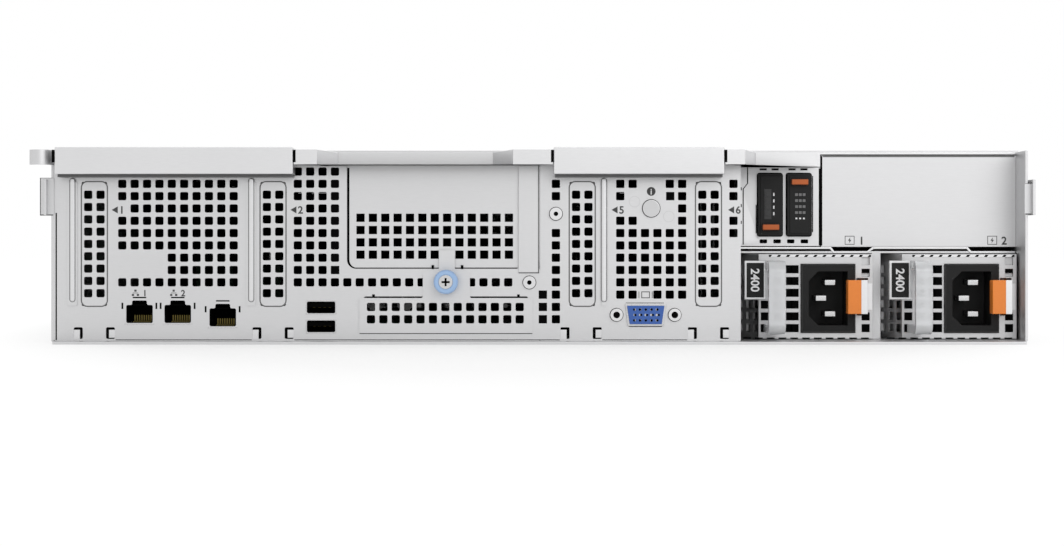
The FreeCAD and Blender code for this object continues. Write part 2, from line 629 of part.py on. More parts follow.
def repeat(body, feature, sketch, columns, rows, across, up):
    """Repeat a cut in columns and rows."""
    pattern = body.newObject("PartDesign::LinearPattern", "pattern")
    pattern.Originals = [feature]
    pattern.Refine = False
    if columns > 1:
        pattern.Direction = (sketch, ["H_Axis"])
        pattern.Occurrences = columns
        bind(pattern, Length=f"{columns - 1} * ({across})")
        if rows > 1:
            pattern.Direction2 = (sketch, ["V_Axis"])
            pattern.Occurrences2 = rows
            bind(pattern, Length2=f"{rows - 1} * ({up})")
    else:
        pattern.Direction = (sketch, ["V_Axis"])
        pattern.Occurrences = rows
        bind(pattern, Length=f"{rows - 1} * ({up})")
    body.Tip = pattern


def vent_field(body, left, base, columns, rows, depth=None):
    """Square vent holes in columns and rows, from the lower left hole's corner."""
    sketch = sketch_on(body, "XZ_Plane")
    rectangle(sketch, left, base, "vent_hole", "vent_hole")
    feature = pocket(body, sketch, depth)
    if columns * rows > 1:
        repeat(body, feature, sketch, columns, rows, "vent_pitch", "vent_rise")


def columns_between(first, end):
    """How many vent columns fit from the first one's left edge to an end."""
    return int(value(f"(({end}) - ({first}) - vent_hole) / vent_pitch")) + 1


def vent_cutters(vents):
    """Cutters for many square vents: each block of fields has its left edge and, for each field,
    first column, first row, columns and rows on the common grid."""
    side, across, up = value("vent_hole"), value("vent_pitch"), value("vent_rise")
    cutters = []
    for left, fields in vents:
        for first_column, first_row, columns, rows in fields:
            for column in range(first_column, first_column + columns):
                for row in range(first_row, first_row + rows):
                    corner = Vector(value(left) + column * across, -1, value("vent_base") + row * up)
                    cutters.append(Part.makeBox(side, value("panel_sheet") + 2, side, corner))
    tool = doc.addObject("Part::Feature", "vents")
    tool.Shape = Part.makeCompound(cutters)
    return tool


# ---- chassis

def chassis_tray():
    """Bottom and side walls folded from one sheet, with a bracket at each rear corner."""
    length = "front_face - wall_set_back"
    bottom = block(0, 0, 0, "body_width", "front_face", "base_sheet")
    height = "bridge_top"
    left = block(0, "wall_set_back", 0, "side_sheet", length, height)
    right = block("body_width - side_sheet", "wall_set_back", 0, "side_sheet", length, height)
    pieces = [bottom, left, right]
    for outer, inner in (("-(bracket_stand_off + side_sheet)", "-(bracket_stand_off + side_sheet)"),
                         ("body_width + bracket_stand_off", "body_width")):
        rise = "body_height - bracket_base - cover_flange - tab_clearance"
        pieces.append(block(outer, "wall_set_back - tab_set_out", "bracket_base", "side_sheet",
                            "bracket_depth", rise))
        web = "bracket_stand_off + side_sheet"
        pieces.append(block(inner, "wall_set_back + bracket_depth - tab_set_out - side_sheet", "bracket_base",
                            web, "side_sheet", rise))
    return sub_part(join(*pieces, *corner_tab()), "chassis_tray", 0, 0, 0)


def corner_tab():
    """The rolled tab at the left rear corner, with the strip that ties it to its bracket."""
    middle_x = "side_sheet - curl_radius"
    middle_y = "curl_radius"
    base = "bridge_top - lip_height"
    tube = rod("z", middle_x, middle_y, base, "curl_radius", "lip_height")
    bore = rod("z", middle_x, middle_y, f"{base} - overshoot", "curl_radius - side_sheet",
               "lip_height + 2 * overshoot")
    front_half = block(f"{middle_x} - 2 * curl_radius", middle_y, f"{base} - overshoot", "4 * curl_radius",
                       "2 * curl_radius", "lip_height + 2 * overshoot")
    strip = block(0, middle_y, base, "side_sheet", "wall_set_back - curl_radius + overshoot", "lip_height")
    return [cut(tube, bore, front_half), strip]


def slot_bar(label, left, width):
    """A folded bar over the slots, open below and towards the wall."""
    outer = block(0, 0, 0, width, "wall_set_back - hairline", "bar_height")
    hollow = block("panel_sheet", "panel_sheet", "-overshoot", f"{width} - 2 * panel_sheet", "wall_set_back",
                   "bar_height - panel_sheet + overshoot")
    return sub_part(cut(outer, hollow), label, left, 0, "bar_base")


def rear_bridge():
    """The fixed top sheet behind the cover, with its rear lip folded down along the stepped edge."""
    body = new_body("bridge_body")
    near = "0"
    behind_bar = "wall_set_back + seam_gap"
    far = "recess_set_back"
    edge = [("side_sheet", behind_bar), ("bar_1_left + bar_1_width + seam_gap", behind_bar),
            ("bar_1_left + bar_1_width + seam_gap", near), ("bay_start", near),
            ("bay_inner_start", far), ("bay_inner_end", far), ("bay_end", near),
            ("bar_2_left - seam_gap", near), ("bar_2_left - seam_gap", behind_bar),
            ("bar_2_left + bar_2_width + seam_gap", behind_bar), ("bar_2_left + bar_2_width + seam_gap", near),
            ("step_start", near), ("step_end", far), ("body_width - side_sheet", far)]
    sketch = sketch_on(body, "XY_Plane")
    outline(sketch, edge + [("body_width - side_sheet", "bridge_depth"), ("side_sheet", "bridge_depth")])
    pad(body, sketch, "panel_sheet")
    lips = [edge[2:8], edge[10:13] + [("boot_left + boot_width", far)]]
    for lip in lips:
        inner = [(x, f"({y}) + panel_sheet") for x, y in reversed(lip)]
        sketch = sketch_on(body, "XY_Plane")
        outline(sketch, lip + inner)
        pad(body, sketch, "lip_height")
    return sub_part(body, "rear_bridge", 0, 0, "bridge_top")


def round_edges(body, feature, radius, along, spots):
    """Round the edges along one axis that pass through the given spots."""
    doc.recompute()
    names = []
    for number, edge in enumerate(feature.Shape.Edges, start=1):
        first, last = edge.Vertexes[0].Point, edge.Vertexes[-1].Point
        if (last - first).cross(along).Length > 1e-6:
            continue
        if any((first - spot).cross(along).Length < 1e-4 for spot in spots):
            names.append(f"Edge{number}")
    fillet = body.newObject("PartDesign::Fillet", "round")
    fillet.Base = (feature, names)
    fillet.Refine = False
    bind(fillet, Radius=radius)
    return fillet


# ---- rear walls

def rear_wall_left():
    """The wall of slots 1 and 2 with the sockets, cut low under the middle panel."""
    body = new_body("left_wall_body")
    sketch = sketch_on(body, "XZ_Plane")
    outline(sketch, [("side_sheet", "base_sheet"), ("left_wall_width", "base_sheet"),
                     ("left_wall_width", "window_base"), ("window_left", "window_base"),
                     ("window_left", "bridge_top - lip_height - seam_gap"),
                     ("bay_start", "bridge_top - lip_height - seam_gap"),
                     ("bay_start", "bridge_top - panel_sheet"), ("side_sheet", "bridge_top - panel_sheet")])
    plate = pad(body, sketch, "panel_sheet")
    corner = Vector(value("window_left"), 0, value("window_base"))
    round_edges(body, plate, "window_round", Vector(0, 1, 0), [corner])
    ribs = sketch_on(body, "XZ_Plane")
    for left in ("slot_1_left - rib_width - rib_gap", "slot_2_left - rib_width - rib_gap"):
        rectangle(ribs, left, "slot_base + slot_height - rib_height", "rib_width", "rib_height")
    pad(body, ribs, "rib_rise", outward=True)
    holes = sketch_on(body, "XZ_Plane")
    for left in ("slot_1_left", "slot_2_left"):
        rectangle(holes, left, "slot_base", "slot_width", "slot_height")
    for left, base in JACKS.values():
        outline(holes, jack_mouth(left, base))
    for step in range(2):
        rectangle(holes, "usb_left", f"usb_base + {step} * usb_rise", "usb_width", "usb_height")
    rectangle(holes, "card_left + card_side_lap", "card_base + card_foot_lap", "card_width - 2 * card_side_lap",
              "card_height - card_trim")
    for left in ("slot_1_left - notch_width + notch_lap", "slot_1_left + slot_width - notch_lap",
                 "slot_2_left - notch_width + notch_lap", "slot_2_left + slot_width - notch_lap"):
        rectangle(holes, left, "notch_base", "notch_width", "notch_height")
    ring(holes, "screw_left", "screw_height", "screw_shank_radius + turning_gap")
    pocket(body, holes)
    vents = vent_cutters([
        ("slot_1_vent_left", [(0, 3, 10, 1), (4, 4, 6, 2), (0, 6, 10, 3), (1, 9, 9, 1), (0, 10, 10, 2)]),
        ("slot_2_vent_left", [(0, 3, 11, 1), (14, 3, 4, 1), (0, 4, 4, 5), (1, 9, 3, 1), (0, 10, 4, 3)])])
    return sub_part(cut(body, vents), "rear_wall_left", 0, "wall_set_back", 0)


def rear_wall_right():
    """The wall of slots 5 and 6 with the display connector, and its return to the set-back panels."""
    body = new_body("right_wall_body")
    origin = "left_wall_width"
    sketch = sketch_on(body, "XZ_Plane")
    rectangle(sketch, 0, "base_sheet", "right_wall_width", "bridge_top - panel_sheet - base_sheet")
    pad(body, sketch, "panel_sheet")
    fold = sketch_on(body, "XZ_Plane")
    rectangle(fold, "right_wall_width - panel_sheet", "cage_top + panel_sheet + seam_gap", "panel_sheet",
              "bridge_top - lip_height - cage_top - 2 * panel_sheet - seam_gap")
    pad(body, fold, "recess_set_back - wall_set_back")
    rib = sketch_on(body, "XZ_Plane")
    rectangle(rib, f"slot_5_left + slot_width + end_rib_gap - {origin}", "slot_base + slot_height - rib_height",
              "rib_width / 2", "rib_height")
    pad(body, rib, "rib_rise", outward=True)
    holes = sketch_on(body, "XZ_Plane")
    for left in ("slot_5_left", "slot_6_left"):
        rectangle(holes, f"{left} - {origin}", "slot_base", "slot_width", "slot_height")
    for left in ("slot_5_left - notch_width", "slot_5_left + slot_width - 2 * notch_lap",
                 "slot_6_left - notch_width + notch_lap", "slot_6_left + slot_width - notch_lap"):
        rectangle(holes, f"{left} - {origin}", "notch_base", "notch_width", "notch_height")
    outline(holes, display_outline(f"display_left - {origin}", "display_base", "display_fit"))
    ring(holes, f"button_left - {origin}", "button_height", "button_radius + turning_gap")
    pocket(body, holes)
    vents = vent_cutters([
        ("seam_vent_in", [(0, 0, 1, 8), (0, 10, 1, 2)]),
        ("slot_5_vent_in",
         [(0, 2, 2, 1), (3, 2, 3, 1), (0, 3, 6, 5), (0, 8, 2, 1), (5, 8, 1, 2), (0, 10, 2, 1),
          (5, 10, 1, 1), (0, 11, 2, 1), (4, 11, 2, 1)]),
        ("slot_6_vent_in", [(0, 7, 1, 2), (0, 10, 1, 2)])])
    return sub_part(cut(body, vents), "rear_wall_right", origin, "wall_set_back", 0)


def jack_mouth(left, base):
    """The stepped mouth of an Ethernet socket."""
    right = f"{left} + jack_width"
    top = f"{base} + jack_height"
    step_left = f"{left} + (jack_width - jack_step_width) / 2"
    step_right = f"{left} + (jack_width + jack_step_width) / 2"
    step_top = f"{base} + jack_height + jack_step_height"
    return [(left, base), (right, base), (right, top), (step_right, top),
            (step_right, step_top), (step_left, step_top), (step_left, top), (left, top)]


JACKS = {
    "ethernet_port_1": ("jack_1_left", "jack_base"),
    "ethernet_port_2": ("jack_2_left", "jack_base"),
    "management_port": ("management_jack_left", "management_jack_base"),
}


def ethernet_port(label):
    """A socket shell behind the wall with the stepped mouth in its face."""
    left, base = JACKS[label]
    body = new_body(label + "_body")
    sketch = sketch_on(body, "XZ_Plane")
    rectangle(sketch, 0, 0, "jack_width + 2 * jack_shell", "jack_height + jack_step_height + 2 * jack_shell")
    pad(body, sketch, "jack_depth + jack_shell")
    mouth = sketch_on(body, "XZ_Plane")
    outline(mouth, jack_mouth("jack_shell", "jack_shell"))
    pocket(body, mouth, "jack_depth")
    return sub_part(body, label, f"{left} - jack_shell", "wall_set_back + panel_sheet", f"{base} - jack_shell")


def usb_ports():
    """Two stacked sockets in one shell, each with its tongue."""
    shell = block(0, 0, 0, "usb_width + 2 * usb_shell", "usb_depth + usb_shell",
                  "usb_height + usb_rise + 2 * usb_shell")
    mouths = [block("usb_shell", "-overshoot", f"usb_shell + {step} * usb_rise", "usb_width",
                    "usb_depth + overshoot", "usb_height")
              for step in range(2)]
    tongues = [block("usb_shell + tongue_inset", "tongue_set_back",
                     f"usb_shell + {step} * usb_rise + usb_height - usb_tongue - tongue_drop",
                     "usb_width - 2 * tongue_inset", "usb_depth", "usb_tongue") for step in range(2)]
    return sub_part(join(cut(shell, *mouths), *tongues), "usb_ports",
                    "usb_left - usb_shell", "wall_set_back + panel_sheet", "usb_base - usb_shell")


def display_outline(left, base, spread):
    """The tapered outline of the display connector, spread outwards all round."""
    low = f"{base} - {spread}"
    top = f"{base} + display_height + {spread}"
    return [(f"{left} + display_taper - {spread}", low),
            (f"{left} + display_width - display_taper + {spread}", low),
            (f"{left} + display_width + {spread}", top), (f"{left} - {spread}", top)]


def display_connector():
    """A tapered plug body through the wall, with three rows of five contact holes."""
    body = new_body("display_body")
    sketch = sketch_on(body, "XZ_Plane")
    outline(sketch, display_outline("0", "0", "0"))
    pad(body, sketch, "display_proud + display_depth")
    hole = sketch_on(body, "XZ_Plane")
    rectangle(hole, "display_taper + contact_in", "contact_base", "contact_size", "contact_size")
    feature = pocket(body, hole, "contact_depth")
    repeat(body, feature, hole, 5, 3,
           "(display_width - 2 * display_taper - 2 * contact_in - contact_size) / 4",
           "(display_height - 2 * contact_base - contact_size) / 2")
    return sub_part(body, "display_connector", "display_left", "wall_set_back - display_proud + display_reach",
                    "display_base")


def panel_nuts():
    """Screw posts on the rear walls, all alike."""
    spots = [("display_left - nut_offset", "display_base + display_height / 2"),
             ("display_left + display_width + nut_offset", "display_base + display_height / 2"),
             ("left_wall_width + seam_vent_in + vent_hole / 2", "vent_base + seam_post_rise * vent_rise"),
             ("strap_left + strap_width / 2", "strap_base - nut_radius - strap_post_gap")]
    posts = [rod("y", left, 0, height, "nut_radius", "nut_proud") for left, height in spots]
    return sub_part(group(posts), "panel_nuts", 0, "wall_set_back - nut_proud", 0)


def slot_filler(number):
    """A vented filler that closes one slot opening."""
    body = new_body(f"filler_{number}_body")
    sketch = sketch_on(body, "XZ_Plane")
    rectangle(sketch, 0, 0, "slot_width - 2 * filler_gap", "slot_height - 2 * filler_gap")
    plate = pad(body, sketch, "panel_sheet")
    width, height = value("slot_width - 2 * filler_gap"), value("slot_height - 2 * filler_gap")
    corners = [Vector(x, 0, z) for x in (0, width) for z in (0, height)]
    round_edges(body, plate, "filler_round", Vector(0, 1, 0), corners)
    vent_field(body, "(slot_width - 2 * filler_gap - vent_pitch - vent_hole) / 2",
               "(slot_height - 2 * filler_gap - 8 * vent_rise - vent_hole) / 2", 2, 9)
    return sub_part(body, f"slot_{number}_filler", f"slot_{number}_left + filler_gap",
                    "wall_set_back", "slot_base + filler_gap")


def middle_panel():
    """The vented panel behind the wall's opening, its top folded in under the bridge, with a flat strap."""
    body = new_body("middle_body")
    width = "left_wall_width - window_left + middle_lap"
    height = "bridge_top - lip_height - window_base + middle_lap_base"
    face = sketch_on(body, "XZ_Plane")
    rectangle(face, 0, 0, width, height)
    pad(body, face, "panel_sheet")
    fold = sketch_on(body, "XZ_Plane")
    rectangle(fold, 0, f"{height} - panel_sheet", width, "panel_sheet")
    pad(body, fold, "recess_set_back - wall_set_back + panel_sheet")
    strap = sketch_on(body, "XZ_Plane")
    foot = "strap_base + strap_foot - window_base + middle_lap_base"
    rectangle(strap, "strap_left - window_left + middle_lap", foot, "strap_width", f"{height} - ({foot})")
    raised = pad(body, strap, "strap_sheet", outward=True)
    left = value("strap_left - window_left + middle_lap")
    corners = [Vector(x, 0, value(foot)) for x in (left, left + value("strap_width"))]
    round_edges(body, raised, "strap_round", Vector(0, 1, 0), corners)
    x = "middle_vent_left - window_left + middle_lap"
    z = "middle_vent_base - window_base + middle_lap_base"
    vent_field(body, x, z, columns_between("middle_vent_left", "strap_left"), 4)
    return sub_part(body, "middle_panel", "window_left - middle_lap", "wall_set_back + panel_sheet",
                    "window_base - middle_lap_base")


def card_blank():
    """The vented blank over the network card slot, with the tab that its captive screw holds."""
    body = new_body("card_body")
    sketch = sketch_on(body, "XZ_Plane")
    rectangle(sketch, 0, 0, "card_width", "card_height")
    pad(body, sketch, "panel_sheet")
    tab = sketch_on(body, "XZ_Plane")
    rectangle(tab, "tab_left - card_left", "card_height - tab_lap", "tab_width",
              "tab_top - card_base - card_height + tab_lap")
    pad(body, tab, "panel_sheet")
    hole = sketch_on(body, "XZ_Plane")
    ring(hole, "screw_left - card_left", "screw_height - card_base", "screw_shank_radius + turning_gap")
    pocket(body, hole)
    columns = columns_between("card_vent_left", "card_left + card_width")
    vent_field(body, "card_vent_left - card_left", "vent_base - card_base", columns, 2)
    return sub_part(body, "card_blank", "card_left", "wall_set_back - panel_sheet", "card_base")


def captive_screw():
    """A knurled thumb screw: head, shank and the cross in its end."""
    head = rod("y", 0, 0, 0, "screw_head_radius", "screw_head_length")
    shank = rod("y", 0, "screw_head_length", 0, "screw_shank_radius", "screw_shank_length")
    slot_a = block("-cross_span / 2", "-overshoot", "-cross_width / 2", "cross_span", "cross_depth + overshoot",
                   "cross_width")
    slot_b = block("-cross_width / 2", "-overshoot", "-cross_span / 2", "cross_width",
                   "cross_depth + overshoot", "cross_span")
    return sub_part(join(cut(head, slot_a, slot_b), shank), "captive_screw", "screw_left",
                    "wall_set_back - panel_sheet - screw_head_length - hairline", "screw_height")


def locator_button():
    """The round button between the slots, kept in by a flange behind the wall."""
    length = "button_proud + panel_sheet + flange_gap"
    cap = rod("y", 0, 0, 0, "button_radius", length)
    reach = "button_radius + button_flange"
    flange = block(f"-({reach})", length, f"-({reach})", f"2 * ({reach})", "flange_sheet", f"2 * ({reach})")
    return sub_part(join(cap, flange), "locator_button", "button_left",
                    "wall_set_back - button_proud", "button_height")


# ---- right-hand panels

def boot_frame():
    """The set-back frame round the two start drives, with small vents above and below."""
    body = new_body("boot_body")
    sketch = sketch_on(body, "XZ_Plane")
    left = "wall_end - panel_sheet"
    rectangle(sketch, 0, 0, f"boot_left + boot_width - ({left})", "boot_height")
    pad(body, sketch, "panel_sheet")
    holes = sketch_on(body, "XZ_Plane")
    for module in (1, 2):
        rectangle(holes, f"module_{module}_left - ({left}) - module_gap",
                  "module_base - boot_base - module_gap", "module_width + 2 * module_gap",
                  "module_height + 2 * module_gap")
    pocket(body, holes)
    slit = sketch_on(body, "XZ_Plane")
    rectangle(slit, f"module_1_left - ({left}) + boot_slit_in", "boot_slit_base", "boot_slit_width",
              "boot_slit_height")
    repeat(body, pocket(body, slit), slit, 4, 1, "boot_slit_pitch", "0")
    guides = []
    for height in ("module_base - boot_base - module_gap - panel_sheet",
                   "module_base - boot_base + module_height + module_gap"):
        guides.append(block(f"module_1_left - ({left}) - guide_lap", "panel_sheet / 2", height,
                            "module_2_left - module_1_left + module_width + 2 * guide_lap", "module_length",
                            "panel_sheet"))
    return sub_part(join(body, *guides), "boot_frame", left, "recess_set_back", "boot_base")


def boot_module(number):
    """A slide-in start drive with its pull tab."""
    case = block(0, 0, 0, "module_width", "module_length", "module_height")
    hollow = block("module_rim", "-overshoot", "module_rim", "module_width - 2 * module_rim",
                   "module_recess + overshoot", "module_height - 2 * module_rim")
    height = {1: "module_tab_in", 2: "module_height - module_tab_height - module_tab_in"}[number]
    tab = block("(module_width - module_tab_width) / 2", "-module_tab_proud", height, "module_tab_width",
                "module_tab_proud + module_tab_root", "module_tab_height")
    return sub_part(join(cut(case, hollow), tab), f"boot_module_{number}", f"module_{number}_left",
                    "recess_set_back - module_proud", "module_base")


def blank_panel():
    """The plain set-back panel over the power supplies."""
    width = "body_width - side_sheet - boot_left - boot_width - seam_gap"
    plate = block(0, 0, 0, width, "panel_sheet", "blank_height")
    return sub_part(plate, "blank_panel", "boot_left + boot_width + seam_gap", "recess_set_back", "blank_base")


# ---- power supplies

def supply_cage():
    """The cage round the power supplies: left wall, divider and roof."""
    length = "supply_cage_length"
    width = "body_width - side_sheet - seam_gap - (supply_left - supply_gap - panel_sheet)"
    roof = block(0, 0, "cage_top - base_sheet", width, length, "panel_sheet")
    wall = block(0, 0, 0, "panel_sheet", length, "cage_top - base_sheet + panel_sheet / 2")
    divider = block("panel_sheet + 2 * supply_gap + supply_width", 0, 0,
                    "supply_pitch - supply_width - 2 * supply_gap", length,
                    "cage_top - base_sheet + panel_sheet / 2")
    return sub_part(join(roof, wall, divider), "supply_cage", "supply_left - supply_gap - panel_sheet",
                    "recess_set_back", "base_sheet")


def supply_case(number):
    """The case of a power supply: vented face, slanted left corner, room for inlet and latch."""
    body = new_body(f"supply_{number}_body")
    sketch = sketch_on(body, "XY_Plane")
    outline(sketch, [("slant_width", "0"), ("supply_width", "0"), ("supply_width", "supply_length"),
                     ("0", "supply_length"), ("0", "slant_depth")])
    feature = pad(body, sketch, "supply_height", outward=True)
    room = sketch_on(body, "XZ_Plane")
    rectangle(room, "inlet_left", "inlet_base", "inlet_width", "inlet_height")
    pocket(body, room, "inlet_length")
    slot = sketch_on(body, "XZ_Plane")
    rectangle(slot, "inlet_left + inlet_width + latch_side_gap", "latch_base - latch_top_gap",
              "latch_arm_left + latch_arm_width + latch_side_gap - inlet_left - inlet_width",
              "latch_height + 2 * latch_top_gap")
    pocket(body, slot, "latch_arm_length + case_vent_gap")
    for left, base, columns, rows, depth in (
            ("inlet_left - supply_hole - case_vent_gap", "case_vent_base", 1, 6, "vent_depth"),
            ("slant_width + case_vent_gap", "case_vent_base", 3, 6, "vent_depth"),
            ("supply_width - supply_hole - case_vent_edge", "case_vent_base", 1, 2, "vent_depth"),
            ("supply_width - supply_hole - case_vent_edge", "latch_base + latch_height + latch_vent_gap", 1, 2,
             "vent_depth")):
        hole = sketch_on(body, "XZ_Plane")
        rectangle(hole, left, base, "supply_hole", "supply_hole")
        cut_feature = pocket(body, hole, depth)
        repeat(body, cut_feature, hole, columns, rows, "supply_hole_rise", "supply_hole_rise")
    narrow = sketch_on(body, "XZ_Plane")
    rectangle(narrow, "slant_vent_in", "case_vent_base", "slant_width / 3 - case_vent_gap", "supply_hole")
    cut_feature = pocket(body, narrow, "slant_depth + vent_depth")
    repeat(body, cut_feature, narrow, 3, 6, "slant_width / 3", "supply_hole_rise")
    left = f"supply_left + {number - 1} * supply_pitch"
    return sub_part(body, f"supply_{number}_case", left, "supply_rear", "supply_base")


def supply_inlet(number):
    """The inlet block of a power supply: recess with two cut corners, and three contact blades."""
    body = new_body(f"inlet_{number}_body")
    sketch = sketch_on(body, "XZ_Plane")
    rectangle(sketch, 0, 0, "inlet_width", "inlet_height")
    pad(body, sketch, "inlet_length + inlet_proud")
    mouth = sketch_on(body, "XZ_Plane")
    left = "(inlet_width - mouth_width) / 2"
    right = "(inlet_width + mouth_width) / 2"
    low = "(inlet_height - mouth_height) / 2"
    top = "(inlet_height + mouth_height) / 2"
    outline(mouth, [(f"{left} + mouth_chamfer", low), (right, low), (right, top), (f"{left} + mouth_chamfer", top),
                    (left, f"{top} - mouth_chamfer"), (left, f"{low} + mouth_chamfer")])
    pocket(body, mouth, "mouth_depth")
    tall = "mouth_depth - blade_recess + blade_root"
    blades = []
    for step, shift in ((-1, "0"), (0, "blade_offset"), (1, "0")):
        x = f"inlet_width / 2 - blade_width / 2 + blade_shift - {shift}"
        z = f"inlet_height / 2 - blade_height / 2 + {step} * blade_rise"
        blades.append(block(x, "blade_recess", z, "blade_width", tall, "blade_height"))
    left = f"supply_left + {number - 1} * supply_pitch + inlet_left"
    return sub_part(join(body, *blades), f"supply_{number}_inlet", left, "supply_rear - inlet_proud",
                    "supply_base + inlet_base")


def supply_handle(number):
    """The clear loop handle of a power supply, rounded at its bends, with the plate that carries its label."""
    body = new_body(f"handle_{number}_body")
    sketch = sketch_on(body, "YZ_Plane")
    upper = "grip_height - grip_bar"
    outline(sketch, [("0", "0"), ("supply_rear", "0"), ("supply_rear", "grip_bar"), ("grip_bar", "grip_bar"),
                     ("grip_bar", upper), ("supply_rear", upper), ("supply_rear", "grip_height"),
                     ("0", "grip_height")])
    loop = pad(body, sketch, "grip_width", outward=True)
    bends = [Vector(0, 0, z) for z in (0, value("grip_height"))]
    loop = round_edges(body, loop, "grip_round", Vector(1, 0, 0), bends)
    body.Tip = loop
    flag = block("-flag_width", "flag_set_back", "grip_height - flag_height", "flag_width + overshoot", "flag_sheet",
                 "flag_height")
    left = f"supply_left + {number - 1} * supply_pitch + grip_left"
    return sub_part(join(body, flag), f"supply_{number}_handle", left, 0, "supply_base + grip_base")


def supply_latch(number):
    """The release tab of a power supply with the arm that runs into the case."""
    tab = block(0, 0, 0, "latch_tab_width", "latch_proud - inlet_proud - latch_shy", "latch_height")
    bridge = block("latch_tab_width - latch_bridge_lap", 0, 0,
                   "latch_arm_left + latch_arm_width - latch_left - latch_tab_width + latch_bridge_lap",
                   "latch_bridge_sheet", "latch_height")
    arm = block("latch_arm_left - latch_left", 0, 0, "latch_arm_width",
                "latch_proud + latch_arm_length", "latch_height")
    left = f"supply_left + {number - 1} * supply_pitch + latch_left"
    return sub_part(join(tab, bridge, arm), f"supply_{number}_latch", left, "supply_rear - latch_proud",
                    "supply_base + latch_base")


# ---- inside

def system_board():
    """The main circuit board, narrow beside the supplies and wide in front of them, on its feet."""
    rear_edge = "wall_set_back + panel_sheet + board_rear_gap"
    top = "board_sheet"
    narrow = block(0, 0, 0, "supply_left - board_inset - board_side_gap",
                   f"board_step - ({rear_edge}) + overshoot", top)
    wide = block(0, f"board_step - ({rear_edge})", 0, "body_width - 2 * board_inset",
                 "board_front - board_step", top)
    feet = []
    for i in range(3):
        for j in range(3):
            reach = "supply_left - board_inset - board_side_gap - 2 * foot_in - foot_width"
            feet.append(block(f"foot_in + {i} * ({reach}) / 2",
                              f"foot_in + {j} * (board_front - ({rear_edge}) - 2 * foot_in - foot_width) / 2",
                              "-board_lift", "foot_width", "foot_width", "board_lift + board_sheet / 2"))
    sockets = [block(f"slot_{number}_left + slot_width / 2 - board_inset - card_socket_width / 2",
                     "card_socket_rear",
                     "board_sheet / 2", "card_socket_width", "card_socket_length", "card_socket_height")
               for number in (1, 2, 5)]
    return sub_part(join(narrow, wide, *feet, *sockets), "system_board", "board_inset", rear_edge, "board_base")


def heat_sinks():
    """Two finned processor coolers."""
    sinks = []
    for side in (-1, 1):
        left = f"body_width / 2 + {side} * sink_offset - sink_width / 2"
        foot = block(left, 0, 0, "sink_width", "sink_length", "sink_foot")
        fins = [block(f"{left} + {i} * fin_pitch", 0, "sink_foot - fin_root", "fin_sheet", "sink_length",
                      "sink_height - sink_foot + fin_root") for i in range(COUNTS["fins"])]
        sinks.append(join(foot, *fins))
    return sub_part(group(sinks), "heat_sinks", 0, "sink_rear", "board_base + board_sheet")


def memory_modules():
    """Banks of memory modules on both sides of each heat sink."""
    modules = []
    for side in (-1, 1):
        middle = f"body_width / 2 + {side} * sink_offset"
        for way in (-1, 1):
            for i in range(COUNTS["memory_bank"]):
                reach = f"sink_width / 2 + memory_gap + {i} * memory_pitch"
                x = f"{middle} + {way} * ({reach}) - memory_sheet / 2"
                if way * side < 0 and i >= COUNTS["inner_bank"]:
                    continue
                modules.append(block(x, 0, 0, "memory_sheet", "memory_length", "memory_height"))
    return sub_part(group(modules), "memory_modules", 0, "sink_rear - (memory_length - sink_length) / 2",
                    "board_base + board_sheet")


def fan_frames():
    """Four fan frames in a row, each with its opening, hub plate and struts, and the wall that joins them."""
    frames, windows = [], []
    for i in range(COUNTS["fans"]):
        middle = f"body_width / 2 + {i - 1.5} * fan_pitch"
        left = f"{middle} - fan_size / 2"
        shell = cut(block(left, 0, 0, "fan_size", "fan_length", "fan_size"),
                    prism(middle, "-overshoot", "fan_size / 2", "rotor_radius + tip_gap",
                          "fan_length + 2 * overshoot"))
        upright = block(f"{middle} - strut_width / 2", 0, "frame_edge", "strut_width", "strut_sheet",
                        "fan_size - 2 * frame_edge")
        level = block(f"{left} + frame_edge", 0, "fan_size / 2 - strut_width / 2", "fan_size - 2 * frame_edge",
                      "strut_sheet", "strut_width")
        plate = prism(middle, 0, "fan_size / 2", "hub_radius", "strut_sheet")
        frames.append(join(shell, upright, level, plate))
        windows.append(block(f"{left} + wall_lap", "-panel_sheet - overshoot", "wall_lap", "fan_size - 2 * wall_lap",
                             "panel_sheet + 2 * overshoot", "fan_size - 2 * wall_lap"))
    wall = block("side_sheet + seam_gap", "-panel_sheet", 0, "body_width - 2 * side_sheet - 2 * seam_gap",
                 "panel_sheet", "fan_size")
    return sub_part(join(*frames, cut(wall, *windows)), "fan_frames", 0, "fan_rear", "fan_base")


def fan_rotor(number):
    """A fan rotor: a hub close to the frame's plate, and pitched blades out to the tip circle."""
    hub = prism(0, "strut_sheet + turning_gap", 0, "hub_radius", "hub_length - turning_gap")
    blades = []
    for i in range(COUNTS["blades"]):
        blade = doc.addObject("Part::Box", "blade")
        bind(blade, Length="sqrt(rotor_radius ^ 2 - (blade_chord / 2) ^ 2) - hub_radius / 2 - blade_shy",
             Width="blade_sheet", Height="blade_chord")
        across = Rotation(Vector(0, 1, 0), i * 360.0 / COUNTS["blades"])
        pitch = Rotation(Vector(1, 0, 0), value("blade_angle"))
        middle = pitch.multVec(Vector(0, value("blade_sheet") / 2, value("blade_chord") / 2))
        root = Vector(value("hub_radius") / 2, value("hub_length") / 2 + value("strut_sheet"), 0) - middle
        blade.Placement = Placement(across.multVec(root), across.multiply(pitch))
        blades.append(blade)
    return sub_part(join(hub, *blades), f"fan_rotor_{number}",
                    f"body_width / 2 + {number - 2.5} * fan_pitch", "fan_rear", "fan_base + fan_size / 2")


